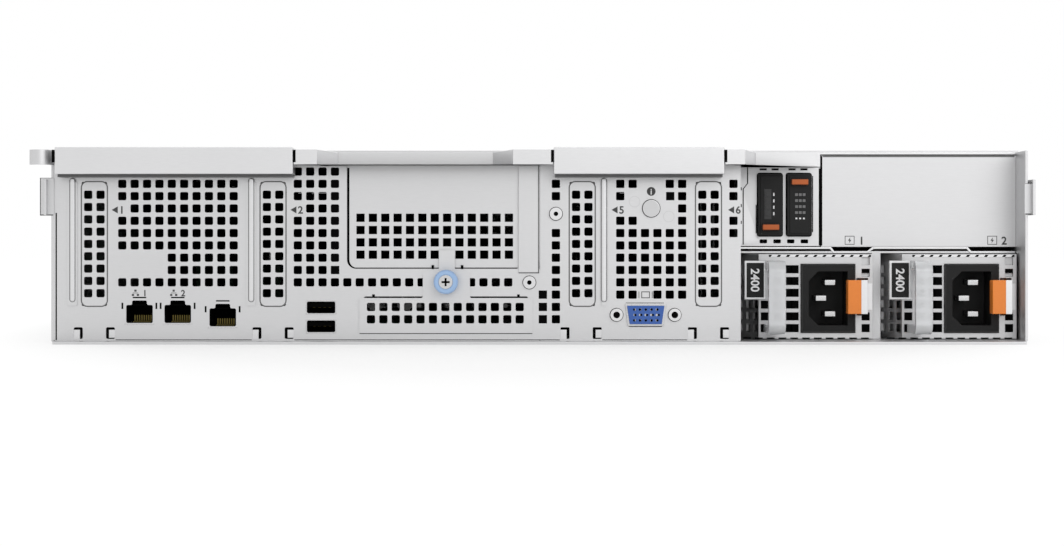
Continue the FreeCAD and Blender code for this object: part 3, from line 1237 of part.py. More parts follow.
def accelerator_cards():
    """Two stacked accelerator cards behind each front grille."""
    cards = []
    for side in (-1, 1):
        for level in (0, 1):
            left = f"body_width / 2 + {side} * card_body_offset - card_body_width / 2"
            cards.append(block(left, 0, f"{level} * card_body_pitch", "card_body_width", "card_body_length",
                               "card_body_height"))
    return sub_part(group(cards), "accelerator_cards", 0, "card_body_rear", "card_body_base")


# ---- front

def front_grille(side):
    """A slitted intake panel between the drive cage and a side wall."""
    body = new_body(f"front_grille_{side}")
    left = {"left": "side_sheet + seam_gap", "right": "(body_width + cage_width) / 2 + seam_gap"}[side]
    sketch = sketch_on(body, "XZ_Plane")
    rectangle(sketch, 0, 0, "grille_width", "grille_height")
    pad(body, sketch, "grille_sheet")
    slit = sketch_on(body, "XZ_Plane")
    rectangle(slit, "grille_margin", "grille_margin", "slit_width", "slit_height")
    columns = int(value("(grille_width - 2 * grille_margin - slit_width) / slit_pitch")) + 1
    repeat(body, pocket(body, slit), slit, columns, 2, "slit_pitch", "slit_height + slit_gap")
    put(body, left, 0, 0)
    return body


def front_grilles():
    """The two intake panels."""
    return sub_part(group([front_grille("left"), front_grille("right")]), "front_grilles", 0,
                    "front_face - grille_sheet", "base_sheet + hairline")


def drive_cage():
    """The cage in the middle of the front that guides the drive carriers, with its backplane."""
    outer = block(0, 0, 0, "cage_width", "cage_length", "bridge_top - base_sheet - hairline")
    hollow = block("cage_sheet", "backplane", "cage_sheet", "cage_width - 2 * cage_sheet", "cage_length",
                   "bridge_top - base_sheet - hairline - 2 * cage_sheet")
    return sub_part(cut(outer, hollow), "drive_cage", "cage_left", "front_face - cage_length", "base_sheet")


def carrier_left(number):
    return f"body_width / 2 + {number - 2.5} * carrier_pitch - carrier_width / 2"


def drive_carrier(number):
    """A drive carrier: drive, guide frame and face with the lever's recess."""
    case = block(0, 0, 0, "carrier_width", "carrier_length", "carrier_height")
    recess = block("(carrier_width - lever_width) / 2 - lever_side_gap",
                   "carrier_length - lever_thickness - lever_rear_gap",
                   "lever_base - pivot_radius - lever_foot_gap", "lever_width + 2 * lever_side_gap",
                   "lever_thickness + 2 * overshoot", "lever_height + lever_foot_gap + lever_top_gap")
    return sub_part(cut(case, recess), f"drive_carrier_{number}", carrier_left(number),
                    "front_face - carrier_length + carrier_proud", "carrier_base")


def drive_lever(number):
    """The lever in a carrier's face, with its pivot end rounded and a grip slot."""
    arm = block(0, 0, 0, "lever_width", "lever_thickness", "lever_height - pivot_radius")
    knuckle = rod("x", 0, "lever_thickness / 2", 0, "lever_thickness / 2", "lever_width")
    slot = block("lever_width / 4", "lever_thickness - grip_depth", "lever_height / 3", "lever_width / 2",
                 "grip_depth + overshoot", "lever_height / 2")
    left = f"{carrier_left(number)} + (carrier_width - lever_width) / 2"
    return sub_part(cut(join(arm, knuckle), slot), f"drive_lever_{number}", left,
                    "front_face + carrier_proud - lever_thickness", "carrier_base + lever_base")


def ear(side):
    """A rack ear: plate with two screw holes, control housing and the flange on the chassis side."""
    plate = block(0, 0, 0, "ear_overhang", "ear_sheet", "body_height")
    pod = block("ear_overhang - pod_width", 0, 0, "pod_width", "ear_reach - power_proud", "body_height")
    flange = block("ear_overhang - side_sheet - hairline", "-ear_flange_length", "ear_flange_base", "side_sheet",
                   "ear_flange_length + overshoot", "body_height - ear_flange_trim")
    solid = join(plate, pod, flange)
    for height in ("rack_hole_edge", "body_height - rack_hole_edge"):
        solid = cut(solid, rod("y", "rack_hole_inset", "-overshoot", height, "rack_hole_radius", "ear_sheet + 2 * overshoot"))
    if side > 0:
        well = rod("y", "ear_overhang - pod_width / 2", "ear_reach - power_proud - power_length",
                   "power_height", "power_radius + turning_gap", "power_length + overshoot")
        solid = cut(solid, well)
    return solid


def ears():
    """The left ear, and the right ear mirrored from it with the power button's well."""
    sub_part(ear(-1), "ear_left", "-ear_overhang", "rear_to_ear", 0)
    mirror = doc.addObject("Part::Mirroring", "mirror")
    mirror.Source = ear(1)
    mirror.Normal = Vector(1, 0, 0)
    sub_part(mirror, "ear_right", "body_width + ear_overhang", "rear_to_ear", 0)


def slam_latch(label, left):
    """The lever that hooks an ear to the rack."""
    round_radius = "slam_thickness / 2"
    arm = block(0, 0, round_radius, "slam_width", "slam_thickness", f"slam_height - {round_radius}")
    knuckle = rod("x", 0, round_radius, round_radius, round_radius, "slam_width")
    grip = block(0, "slam_thickness - slam_grip_lap", "slam_height - slam_grip_drop", "slam_width",
                 "slam_grip_depth", "slam_grip_height")
    return sub_part(join(arm, knuckle, grip), label, left, "rear_to_ear + ear_sheet + slam_gap", "slam_base")


def power_button():
    """The round power button in the right ear's housing."""
    rear_end = "rear_to_ear + ear_reach - power_length"
    cap = rod("y", 0, 0, 0, "power_radius", "power_length")
    return sub_part(cap, "power_button", "body_width + pod_width / 2", rear_end, "power_height")


# ---- cover and rail studs

def top_cover():
    """The sliding top cover with its side flanges and the tray of its latch lever."""
    width = "body_width + 2 * cover_gap + 2 * panel_sheet"
    length = "cover_front - cover_rear"
    roof = block(0, 0, "cover_flange - panel_sheet", width, length, "panel_sheet")
    start = "bracket_depth + flange_rear_gap"
    left = block(0, start, 0, "panel_sheet", f"{length} - ({start}) - flange_front_gap", "cover_flange")
    right = block("body_width + 2 * cover_gap + panel_sheet", start, 0, "panel_sheet",
                  f"{length} - ({start}) - flange_front_gap", "cover_flange")
    middle = f"({width}) / 2"
    tray = block(f"{middle} - handle_width / 2 - handle_gap - panel_sheet", "handle_rear - cover_rear - handle_gap",
                 "cover_flange - handle_thickness - 2 * panel_sheet", "handle_width + 2 * handle_gap + 2 * panel_sheet",
                 "handle_length + 2 * handle_gap", "handle_thickness + 2 * panel_sheet - tray_shy")
    well = block(f"{middle} - handle_width / 2 - handle_gap", "handle_rear - cover_rear - handle_gap + panel_sheet",
                 "cover_flange - handle_thickness - panel_sheet", "handle_width + 2 * handle_gap",
                 "handle_length + 2 * handle_gap - 2 * panel_sheet", "handle_thickness + 2 * panel_sheet")
    solid = cut(join(roof, left, right, tray), well)
    return sub_part(solid, "top_cover", "-(cover_gap + panel_sheet)", "cover_rear", "body_height - cover_flange")


def cover_latch():
    """The lever that lies in the cover's tray and slides the cover as it lifts."""
    start = "panel_sheet + handle_gap + handle_thickness / 2"
    arm = block("-handle_width / 2", start, 0, "handle_width",
                f"handle_length - 2 * panel_sheet - handle_gap - handle_thickness / 2", "handle_thickness")
    knuckle = rod("x", "-handle_width / 2", start, "handle_thickness / 2", "handle_thickness / 2", "handle_width")
    slot = block("-handle_width / 4", "handle_length * handle_slot_place", "handle_thickness - grip_depth",
                 "handle_width / 2", "handle_slot_length", "grip_depth + overshoot")
    return sub_part(cut(join(arm, knuckle), slot), "cover_latch", "body_width / 2", "handle_rear",
                    "body_height - handle_thickness - panel_sheet + tray_shy")


def rail_studs():
    """Shoulder studs along both side walls, which drop into the slide rails."""
    studs = []
    for i in range(COUNTS["studs"]):
        y = f"stud_first + {i} * stud_pitch"
        for shank_x, head_x in (("-stud_length", "-(stud_length + stud_head)"),
                                ("body_width", "body_width + stud_length")):
            shank = rod("x", shank_x, y, 0, "stud_radius", "stud_length")
            head = rod("x", head_x, y, 0, "stud_head_radius", "stud_head")
            studs.append(join(shank, head))
    return sub_part(group(studs), "rail_studs", 0, 0, "stud_height")


def build():
    fill_sheets()
    chassis_tray()
    rear_bridge()
    slot_bar("slot_bar_left", "bar_1_left", "bar_1_width")
    slot_bar("slot_bar_right", "bar_2_left", "bar_2_width")
    rear_wall_left()
    rear_wall_right()
    for label in JACKS:
        ethernet_port(label)
    usb_ports()
    display_connector()
    panel_nuts()
    for number in (1, 2, 5, 6):
        slot_filler(number)
    middle_panel()
    card_blank()
    captive_screw()
    locator_button()
    boot_frame()
    blank_panel()
    supply_cage()
    for number in (1, 2):
        boot_module(number)
        supply_case(number)
        supply_inlet(number)
        supply_handle(number)
        supply_latch(number)
    system_board()
    heat_sinks()
    memory_modules()
    fan_frames()
    for number in range(1, COUNTS["fans"] + 1):
        fan_rotor(number)
    accelerator_cards()
    front_grilles()
    drive_cage()
    for number in range(1, COUNTS["carriers"] + 1):
        drive_carrier(number)
        drive_lever(number)
    ears()
    slam_latch("slam_latch_left", "slam_edge - ear_overhang")
    slam_latch("slam_latch_right", "body_width + ear_overhang - slam_width - slam_edge")
    power_button()
    top_cover()
    cover_latch()
    rail_studs()
    doc.recompute()


def check_and_write():
    """Refuse a failed object or an empty shape, then write each piece to its own file."""
    for thing in doc.Objects:
        if "Invalid" in thing.State or "Error" in thing.State:
            raise RuntimeError(f"{thing.Name} ({thing.Label}) failed: {thing.State}")
    for thing in SUB_PARTS:
        if thing.Shape.isNull() or not thing.Shape.isValid() or not thing.Shape.Solids:
            raise RuntimeError(f"{thing.Label} has no sound shape")
    os.makedirs("parts", exist_ok=True)
    for thing in SUB_PARTS:
        thing.Shape.exportStep(f"parts/{thing.Label}.step")
        print(thing.Label, len(thing.Shape.Solids), round(thing.Shape.Volume))


build()
check_and_write()
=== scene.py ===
"""Looks of a 2U rack server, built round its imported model."""
import json
import math

import bmesh
import bpy
from bpy.props import FloatProperty, FloatVectorProperty, PointerProperty
from mathutils import Matrix, Vector


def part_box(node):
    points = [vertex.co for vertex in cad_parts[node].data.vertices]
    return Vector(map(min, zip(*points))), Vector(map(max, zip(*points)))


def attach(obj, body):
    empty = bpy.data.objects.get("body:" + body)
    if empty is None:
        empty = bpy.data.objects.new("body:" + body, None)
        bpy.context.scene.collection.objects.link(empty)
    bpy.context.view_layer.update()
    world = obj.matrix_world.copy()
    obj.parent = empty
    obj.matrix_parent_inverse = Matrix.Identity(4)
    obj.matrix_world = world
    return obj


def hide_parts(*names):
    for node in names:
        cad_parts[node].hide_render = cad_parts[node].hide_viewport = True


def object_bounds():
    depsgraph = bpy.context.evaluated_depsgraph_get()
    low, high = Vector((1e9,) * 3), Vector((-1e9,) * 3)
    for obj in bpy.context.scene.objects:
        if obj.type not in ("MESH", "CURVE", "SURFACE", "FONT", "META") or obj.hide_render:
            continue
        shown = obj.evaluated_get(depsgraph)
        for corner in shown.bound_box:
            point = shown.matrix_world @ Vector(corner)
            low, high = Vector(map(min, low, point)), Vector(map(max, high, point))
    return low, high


bl_info = {
    "name": "Rack Server Dress",
    "version": (1, 0, 0),
    "blender": (4, 5, 0),
    "location": "View3D > Sidebar > Rack Server",
    "description": "Finishes and small pieces of a 2U rack server on its packed frame",
    "category": "Object",
}

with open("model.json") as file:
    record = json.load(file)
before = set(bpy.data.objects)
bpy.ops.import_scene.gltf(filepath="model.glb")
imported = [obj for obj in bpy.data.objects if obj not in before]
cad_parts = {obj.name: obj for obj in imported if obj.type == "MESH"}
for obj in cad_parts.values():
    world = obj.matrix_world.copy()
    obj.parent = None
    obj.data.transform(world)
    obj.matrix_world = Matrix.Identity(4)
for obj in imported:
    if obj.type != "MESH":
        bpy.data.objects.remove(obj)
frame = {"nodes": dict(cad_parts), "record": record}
CAD_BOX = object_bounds()
RECORD = frame["record"]
NODE_BODY = {node: body for body, nodes in RECORD["behaviour"]["bodies"].items() for node in nodes}
NODE_SLOT = {row["node"]: row["material_slot"] for row in RECORD["subparts"]}
MM = 0.001


# ---- finishes

GRAIN_INPUTS = [("Dark", "NodeSocketColor", (0.6, 0.6, 0.6, 1)),
                ("Light", "NodeSocketColor", (0.7, 0.7, 0.7, 1)),
                ("Stretch", "NodeSocketVector", (1, 1, 1)), ("Scale", "NodeSocketFloat", 400.0),
                ("Smooth", "NodeSocketFloat", 0.3), ("Rough", "NodeSocketFloat", 0.45)]
GRAIN_OUTPUTS = [("Color", "NodeSocketColor"), ("Roughness", "NodeSocketFloat"),
                 ("Height", "NodeSocketFloat")]
FINE_SHARE, BROAD_SHARE = 0.55, 0.45
BUMP_DEPTH = 0.0002
BLUE_IN_GREY = 1.01
EVEN = (1, 1, 1)

# Dark and light tone of the grain, metallic, stretch and scale of the grain, range of roughness, strength of
# the bump, and other values of the shader. A tone is a grey level, a colour or the name of a setting.
FINISHES = {
    "zinc_sheet": (0.56, 0.68, 0.9, (1, 1, 14), 260, (0.34, 0.5), 0.06),
    "bright_sheet": (0.62, 0.76, 0.95, (1, 1, 10), 240, (0.24, 0.4), 0.05),
    "black_plastic": (0.009, 0.016, 0.0, EVEN, 1500, (0.5, 0.65), 0.2, {"Specular IOR Level": 0.22}),
    "charcoal_plastic": (0.018, 0.03, 0.0, EVEN, 1500, (0.5, 0.6), 0.2, {"Specular IOR Level": 0.25}),
    "orange_plastic": ("orange_dark", "orange_light", 0.0, EVEN, 1200, (0.35, 0.5), 0.15),
    "clear_plastic": ((0.84, 0.85, 0.87), (0.94, 0.95, 0.96), 0.0, EVEN, 700, (0.12, 0.22), 0.05,
                      {"Transmission Weight": 0.45, "IOR": 1.4}),
    "blue_plastic": ("blue_dark", "blue_light", 0.0, EVEN, 1200, (0.35, 0.5), 0.15),
    "pale_blue_plastic": ((0.28, 0.45, 0.72), (0.4, 0.56, 0.8), 0.0, EVEN, 900, (0.3, 0.45), 0.1),
    "circuit_board": ((0.006, 0.05, 0.02), (0.012, 0.09, 0.035), 0.0, EVEN, 300, (0.35, 0.5), 0.1),
    "aluminium": (0.55, 0.66, 1.0, (1, 20, 1), 160, (0.3, 0.45), 0.08),
    "supply_metal": (0.5, 0.6, 0.9, (1, 1, 10), 240, (0.36, 0.5), 0.06),
    "dark_metal": (0.03, 0.05, 0.5, (1, 1, 6), 500, (0.38, 0.55), 0.1),
    "steel_pin": (0.5, 0.66, 1.0, (1, 1, 6), 900, (0.2, 0.35), 0.04),
    # Near-black finish of painted shade in holes, vents, sockets, recesses and gaps; it also colours the
    # black tongues of the serial sockets
    "dark_inside": (0.002, 0.004, 0.0, EVEN, 300, (0.8, 0.9), 0.1, {"Specular IOR Level": 0.02}),
    "ink": (0.03, 0.05, 0.0, EVEN, 900, (0.5, 0.65), 0.05),
    "dull_gold": ((0.10, 0.08, 0.02), (0.18, 0.14, 0.04), 0.8, EVEN, 900, (0.35, 0.5), 0.03),
    "grey_plastic": (0.12, 0.18, 0.0, EVEN, 1200, (0.4, 0.55), 0.1),
    # Grey finish of painted shade: thin lines of shade round the fillers and the locator button, under the
    # display connector, beside ridges, straps and hooks, and under the bars
    "line_grey": (0.12, 0.15, 0.3, EVEN, 600, (0.5, 0.6), 0.05),
    "dull_orange": ((0.42, 0.08, 0.006), (0.52, 0.11, 0.009), 0.0, EVEN, 1200, (0.35, 0.5), 0.15),
    "green_light": ((0.05, 0.4, 0.08), (0.08, 0.55, 0.12), 0.0, EVEN, 900, (0.2, 0.3), 0.03),
    "white_ink": (0.78, 0.86, 0.0, EVEN, 900, (0.5, 0.65), 0.05),
}
MATERIALS = {}


def node_group(name, inputs, outputs):
    """A new shader node group with its sockets, and its input and output nodes."""
    group = bpy.data.node_groups.new(name, "ShaderNodeTree")
    for label, kind, default in inputs:
        socket = group.interface.new_socket(label, in_out="INPUT", socket_type=kind)
        socket.default_value = default
    for label, kind in outputs:
        group.interface.new_socket(label, in_out="OUTPUT", socket_type=kind)
    return group, group.nodes.new("NodeGroupInput"), group.nodes.new("NodeGroupOutput")


def add(tree, kind, **settings):
    """A new node with its properties set; names that match inputs set those."""
    node = tree.nodes.new(kind)
    for key, number in settings.items():
        if hasattr(node, key):
            setattr(node, key, number)
        else:
            node.inputs[key.replace("_", " ")].default_value = number
    return node


def wire(tree, *rows):
    """Link nodes: each row is a node, its output, the next node and that node's input."""
    for source, output, target, entry in rows:
        tree.links.new(source.outputs[output], target.inputs[entry])


def grain_group():
    """Fine rolled or moulded grain: a colour between two tones, a roughness and a height."""
    group, start, end = node_group("sheet_grain", GRAIN_INPUTS, GRAIN_OUTPUTS)
    place = add(group, "ShaderNodeTexCoord")
    stretch = add(group, "ShaderNodeVectorMath", operation="MULTIPLY")
    fine = add(group, "ShaderNodeTexNoise", Detail=4.0, Roughness=0.6)
    broad = add(group, "ShaderNodeTexNoise", Scale=14.0, Detail=2.0)
    blend = add(group, "ShaderNodeMath", operation="MULTIPLY_ADD")
    blend.inputs[1].default_value = FINE_SHARE
    part = add(group, "ShaderNodeMath", operation="MULTIPLY")
    part.inputs[1].default_value = BROAD_SHARE
    mix = add(group, "ShaderNodeMix", data_type="RGBA")
    spread = add(group, "ShaderNodeMapRange")
    wire(group, (place, "Object", stretch, 0), (start, "Stretch", stretch, 1), (stretch, 0, fine, "Vector"),
         (start, "Scale", fine, "Scale"), (place, "Object", broad, "Vector"), (broad, "Fac", part, 0),
         (fine, "Fac", blend, 0), (part, 0, blend, 2), (blend, 0, mix, "Factor"), (start, "Dark", mix, "A"),
         (start, "Light", mix, "B"), (blend, 0, spread, "Value"), (start, "Smooth", spread, "To Min"),
         (start, "Rough", spread, "To Max"), (mix, "Result", end, "Color"),
         (spread, "Result", end, "Roughness"), (fine, "Fac", end, "Height"))


def tone(settings, colour):
    """A linear colour with alpha from a grey level, a setting's name or a colour."""
    if isinstance(colour, str):
        colour = tuple(getattr(settings, colour))
    if not isinstance(colour, tuple):
        colour = (colour, colour, colour * BLUE_IN_GREY)
    return (*colour, 1)


def make_material(settings, name, dark, light, metallic, stretch, scale, rough, bump, others=None):
    """A material from the shared grain and the values of its row in FINISHES."""
    material = bpy.data.materials.new(name)
    material.use_nodes = True
    tree = material.node_tree
    shader = tree.nodes["Principled BSDF"]
    grain = add(tree, "ShaderNodeGroup", node_tree=bpy.data.node_groups["sheet_grain"])
    bumps = add(tree, "ShaderNodeBump", Strength=bump, Distance=BUMP_DEPTH)
    wire(tree, (grain, "Color", shader, "Base Color"), (grain, "Roughness", shader, "Roughness"),
         (grain, "Height", bumps, "Height"), (bumps, "Normal", shader, "Normal"))
    values = {"Dark": tone(settings, dark), "Light": tone(settings, light), "Stretch": stretch,
              "Scale": scale, "Smooth": rough[0], "Rough": rough[1]}
    for label, number in values.items():
        grain.inputs[label].default_value = number
    for label, number in {"Metallic": metallic, **(others or {})}.items():
        shader.inputs[label].default_value = number
    return material


# ---- sheet millimetres: across from the left side, behind the rearmost plane, and up

BODY_WIDTH = 434.0
REAR_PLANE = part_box("slot_bar_left")[0].y / MM
TO_FRAME = Matrix.Scale(MM, 4) @ Matrix.Translation((-BODY_WIDTH / 2, REAR_PLANE, 0))
TO_SHEET = TO_FRAME.inverted()
AXIS_TURN = {"x": Matrix.Rotation(math.pi / 2, 4, "Y"), "y": Matrix.Rotation(-math.pi / 2, 4, "X"),
             "z": Matrix()}


def span(node):
    """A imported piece's lowest and highest corner in sheet millimetres."""
    low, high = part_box(node)
    return TO_SHEET @ low, TO_SHEET @ high


def middle_of(node):
    """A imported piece's centre in sheet millimetres."""
    low, high = span(node)
    return (low + high) / 2


# Edges, in shares of the setting for the edge width
EDGE_SHARES = {"supply_1_handle": 2.0, "supply_2_handle": 2.0, "supply_1_latch": 2.0, "supply_2_latch": 2.0,
               "supply_1_inlet": 2.0, "supply_2_inlet": 2.0, "slot_bar_left": 3.0, "slot_bar_right": 3.0,
               "ear_left": 4.0, "ear_right": 4.0, "slam_latch_left": 5.0, "slam_latch_right": 5.0}
PUNCHED_NODES = ("rear_wall_left", "rear_wall_right", "slot_1_filler", "slot_2_filler", "slot_5_filler",
                 "slot_6_filler", "middle_panel", "card_blank", "boot_frame")
PUNCHED_SHARE = 0.4
HOLE_ROUND = 0.7

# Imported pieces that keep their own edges: those inside, and the screw that is made again
PLAIN_NODES = ("system_board", "heat_sinks", "memory_modules", "accelerator_cards", "fan_frames",
               "fan_rotor_1", "fan_rotor_2", "fan_rotor_3", "fan_rotor_4", "captive_screw")

# Edges that are sharper than these angles, in degrees, are rounded: on plain pieces, on round ones, on low
# ridges and at punched holes. The next is for sharp shading, and faces within the last are one face.
SOFTEN_ANGLE, ROUND_ANGLE, RIDGE_ANGLE, HOLE_ANGLE = 35.0, 50.0, 30.0, 60.0
SHADE_ANGLE, FLAT_ANGLE = 32.0, 0.5
MERGE = 1e-6

# Rear wall: its outer face, how far marks stand out of a face, and where the marks are
WALL = span("slot_1_filler")[0].y
PROUD, SKIN, LINE_RELIEF, PRINT_RELIEF = 0.05, 0.03, 0.04, 0.03
PRINT_WEIGHT = 0.022        # how much a stroke of print is thickened, as a share of its height
SLOT_MARKS = {1: 3.6, 2: 3.6, 5: 8.9, 6: 4.6}
WINDOW = Vector((131.4, 33.2))
NOTCH_BASE = 2.0
LIP_INSET = 2.9


# ---- modelling helpers

def new_meshes(count):
    """Empty meshes to model in."""
    return [bmesh.new() for _mesh in range(count)]


def add_box(mesh, low, high):
    """A box between two corners."""
    low, high = Vector(low), Vector(high)
    size = high - low
    place = Matrix.Translation((low + high) / 2) @ Matrix.Diagonal((*size, 1))
    return bmesh.ops.create_cube(mesh, size=1, matrix=place)["verts"]


def add_mark(mesh, left, base, wide, tall, rear, front):
    """A box given by its lower left corner, its size across and up, and its two planes."""
    return add_box(mesh, (left, rear, base), (left + wide, front, base + tall))


def add_rod(mesh, centre, radius, length, axis="y", segments=32):
    """A cylinder that starts at centre and runs along +axis."""
    place = Matrix.Translation(centre) @ AXIS_TURN[axis] @ Matrix.Translation((0, 0, length / 2))
    bmesh.ops.create_cone(mesh, cap_ends=True, segments=segments, radius1=radius, radius2=radius,
                          depth=length, matrix=place)


def thicken(mesh, faces, reach):
    """Extrude flat faces along a vector."""
    raised = bmesh.ops.extrude_face_region(mesh, geom=faces)["geom"]
    verts = [item for item in raised if isinstance(item, bmesh.types.BMVert)]
    bmesh.ops.translate(mesh, verts=verts, vec=reach)


def add_ring(mesh, centre, outer, inner, length, segments=32):
    """A flat ring that starts at centre and runs to the front."""
    place = Matrix.Translation(centre) @ AXIS_TURN["y"]
    rims = [bmesh.ops.create_circle(mesh, segments=segments, radius=radius, matrix=place)["verts"]
            for radius in (outer, inner)]
    edges = {edge for rim in rims for vert in rim for edge in vert.link_edges}
    faces = bmesh.ops.bridge_loops(mesh, edges=list(edges))["faces"]
    thicken(mesh, faces, AXIS_TURN["y"] @ Vector((0, 0, length)))


def add_frame(mesh, low, high, rim):
    """A flat rectangular frame in the plane of the rear wall, rim wide."""
    (left, rear, base), (right, front, top) = low, high
    add_box(mesh, (left, rear, base), (right, front, base + rim))
    add_box(mesh, (left, rear, top - rim), (right, front, top))
    add_box(mesh, (left, rear, base + rim), (left + rim, front, top - rim))
    add_box(mesh, (right - rim, rear, base + rim), (right, front, top - rim))


def add_plate(mesh, points, rear, front):
    """A flat plate with its outline given across and up, from rear to front."""
    verts = [mesh.verts.new((across, rear, up)) for across, up in points]
    thicken(mesh, [mesh.faces.new(verts)], (0, front - rear, 0))


def add_outline(mesh, low, high, radius, width):
    """A thin line with round corners round a rectangle, on a face that looks to the rear."""
    (left, rear, base), (right, top) = low, high
    corners = ((right - radius, top - radius), (left + radius, top - radius),
               (left + radius, base + radius), (right - radius, base + radius))
    steps = 6
    loops = []
    for reach in (radius, radius + width):
        turns = [(across, up, math.pi / 2 * (quarter + step / steps))
                 for quarter, (across, up) in enumerate(corners) for step in range(steps + 1)]
        loops.append([mesh.verts.new((across + reach * math.cos(turn), rear, up + reach * math.sin(turn)))
                      for across, up, turn in turns])
    count = len(loops[0])
    faces = [mesh.faces.new((loops[0][i], loops[0][(i + 1) % count], loops[1][(i + 1) % count], loops[1][i]))
             for i in range(count)]
    thicken(mesh, faces, (0, LINE_RELIEF, 0))


def add_liner(mesh, low, high):
    """An open box of thin sheet that lines a socket, its mouth to the rear."""
    (left, rear, base), (right, front, top) = low, high
    sheet = 0.12
    add_box(mesh, (left, rear, base), (left + sheet, front, top))
    add_box(mesh, (right - sheet, rear, base), (right, front, top))
    add_box(mesh, (left + sheet, rear, base), (right - sheet, front, base + sheet))
    add_box(mesh, (left + sheet, rear, top - sheet), (right - sheet, front, top))
    add_box(mesh, (left + sheet, front - sheet, base + sheet), (right - sheet, front, top - sheet))


def round_edges(mesh, edges, width, segments):
    """Round some edges of a mesh."""
    bmesh.ops.bevel(mesh, geom=edges, offset=width, segments=segments, profile=0.5, affect="EDGES",
                    clamp_overlap=True, material=-1)


def sharp_edges(mesh, angle):
    """Edges between two faces that are sharper than an angle in degrees."""
    limit = math.radians(angle)
    return [edge for edge in mesh.edges if len(edge.link_faces) == 2 and edge.calc_face_angle() > limit]


def finish_piece(name, mesh, material, body, width=0.0, angle=SOFTEN_ANGLE, placed=False):
    """Turn a modelled mesh into a shown piece that rides on a body."""
    sharp = sharp_edges(mesh, angle)
    if sharp and width > 0:
        round_edges(mesh, sharp, width, 2)
    if not placed:
        bmesh.ops.transform(mesh, matrix=TO_FRAME, verts=mesh.verts)
    bmesh.ops.recalc_face_normals(mesh, faces=mesh.faces)
    for face in mesh.faces:
        face.smooth = True
    data = bpy.data.meshes.new(name)
    mesh.to_mesh(data)
    mesh.free()
    data.set_sharp_from_angle(angle=math.radians(SHADE_ANGLE))
    thing = bpy.data.objects.new(name, data)
    data.materials.append(MATERIALS[material])
    weight = thing.modifiers.new("face_weight", "WEIGHTED_NORMAL")
    weight.keep_sharp = True
    bpy.context.collection.objects.link(thing)
    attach(thing, body)
    return thing


def round_holes(mesh):
    """Round the corners of punched holes, the sharp edges that run straight through a sheet."""
    straight = 0.99
    through = [edge for edge in sharp_edges(mesh, HOLE_ANGLE)
               if abs((edge.verts[0].co - edge.verts[1].co).normalized().y) > straight]
    round_edges(mesh, through, HOLE_ROUND * MM, 3)


def trim_lip(mesh):
    """Set in the rear corners of the tray's lip."""
    depth, height = 1, 2
    for vert in mesh.verts:
        place = TO_SHEET @ vert.co
        if place.y < depth and place.z < height:
            place.x = min(max(place.x, LIP_INSET), BODY_WIDTH - LIP_INSET)
            vert.co = TO_FRAME @ place


def merged_copy(node):
    """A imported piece's mesh, with its loose triangles joined."""
    mesh = bmesh.new()
    mesh.from_mesh(frame["nodes"][node].data)
    bmesh.ops.remove_doubles(mesh, verts=mesh.verts, dist=MERGE)
    return mesh


def softened_copy(node, material, width):
    """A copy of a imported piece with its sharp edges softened; it stands for that piece."""
    mesh = merged_copy(node)
    bmesh.ops.dissolve_limit(mesh, angle_limit=math.radians(FLAT_ANGLE), verts=mesh.verts, edges=mesh.edges,
                             use_dissolve_boundaries=False)
    if node == "chassis_tray":
        trim_lip(mesh)
    if node in PUNCHED_NODES:
        round_holes(mesh)
    thing = finish_piece(node + "_finished", mesh, material, NODE_BODY[node], width * MM, placed=True)
    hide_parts(node)


def print_text(mesh, text, middle, rear, base, height):
    """Raise a short line of print on a face that looks to the rear."""
    curve = bpy.data.curves.new("print", "FONT")
    curve.body = text
    curve.size = height
    curve.align_x = "CENTER"
    curve.extrude = PRINT_RELIEF
    curve.offset = height * PRINT_WEIGHT
    holder = bpy.data.objects.new("print", curve)
    flat = bpy.data.meshes.new_from_object(holder)
    flat.transform(Matrix.Translation((middle, rear, base)) @ Matrix.Rotation(math.pi / 2, 4, "X"))
    mesh.from_mesh(flat)
    bpy.data.objects.remove(holder)
    bpy.data.curves.remove(curve)
    bpy.data.meshes.remove(flat)


def print_arrow(mesh, spot, turn, size):
    """A small filled triangle of print, turned from a level plane."""
    bmesh.ops.create_cone(mesh, cap_ends=True, segments=3, radius1=size, radius2=size,
                          depth=2 * PRINT_RELIEF, matrix=Matrix.Translation(spot) @ turn)


# ---- the stage

FLOOR_TONES = (0.94, 0.96)
FLOOR_ROUGHNESS, FLOOR_GLOW, FLOOR_GLOW_SHARE = 0.7, 1.03, 0.5
FLOOR_SPREAD = (3.0, 1.05, 0.0)     # how fast plain white takes over from the floor's shade, per metre
FLOOR_FADE = (0.7, 0.9)             # from where to where it takes over, on that scale
FLOOR_HALF = 6.0
SENSOR_WIDTH, FAR_CLIP = 36, 30
LENS_SHIFT = (-0.00714, -0.02538)
CAMERA_HEIGHT = 0.0433
FRONT_SHARE = 0.7                   # power of the lamp in front, as a share of the key lamp's


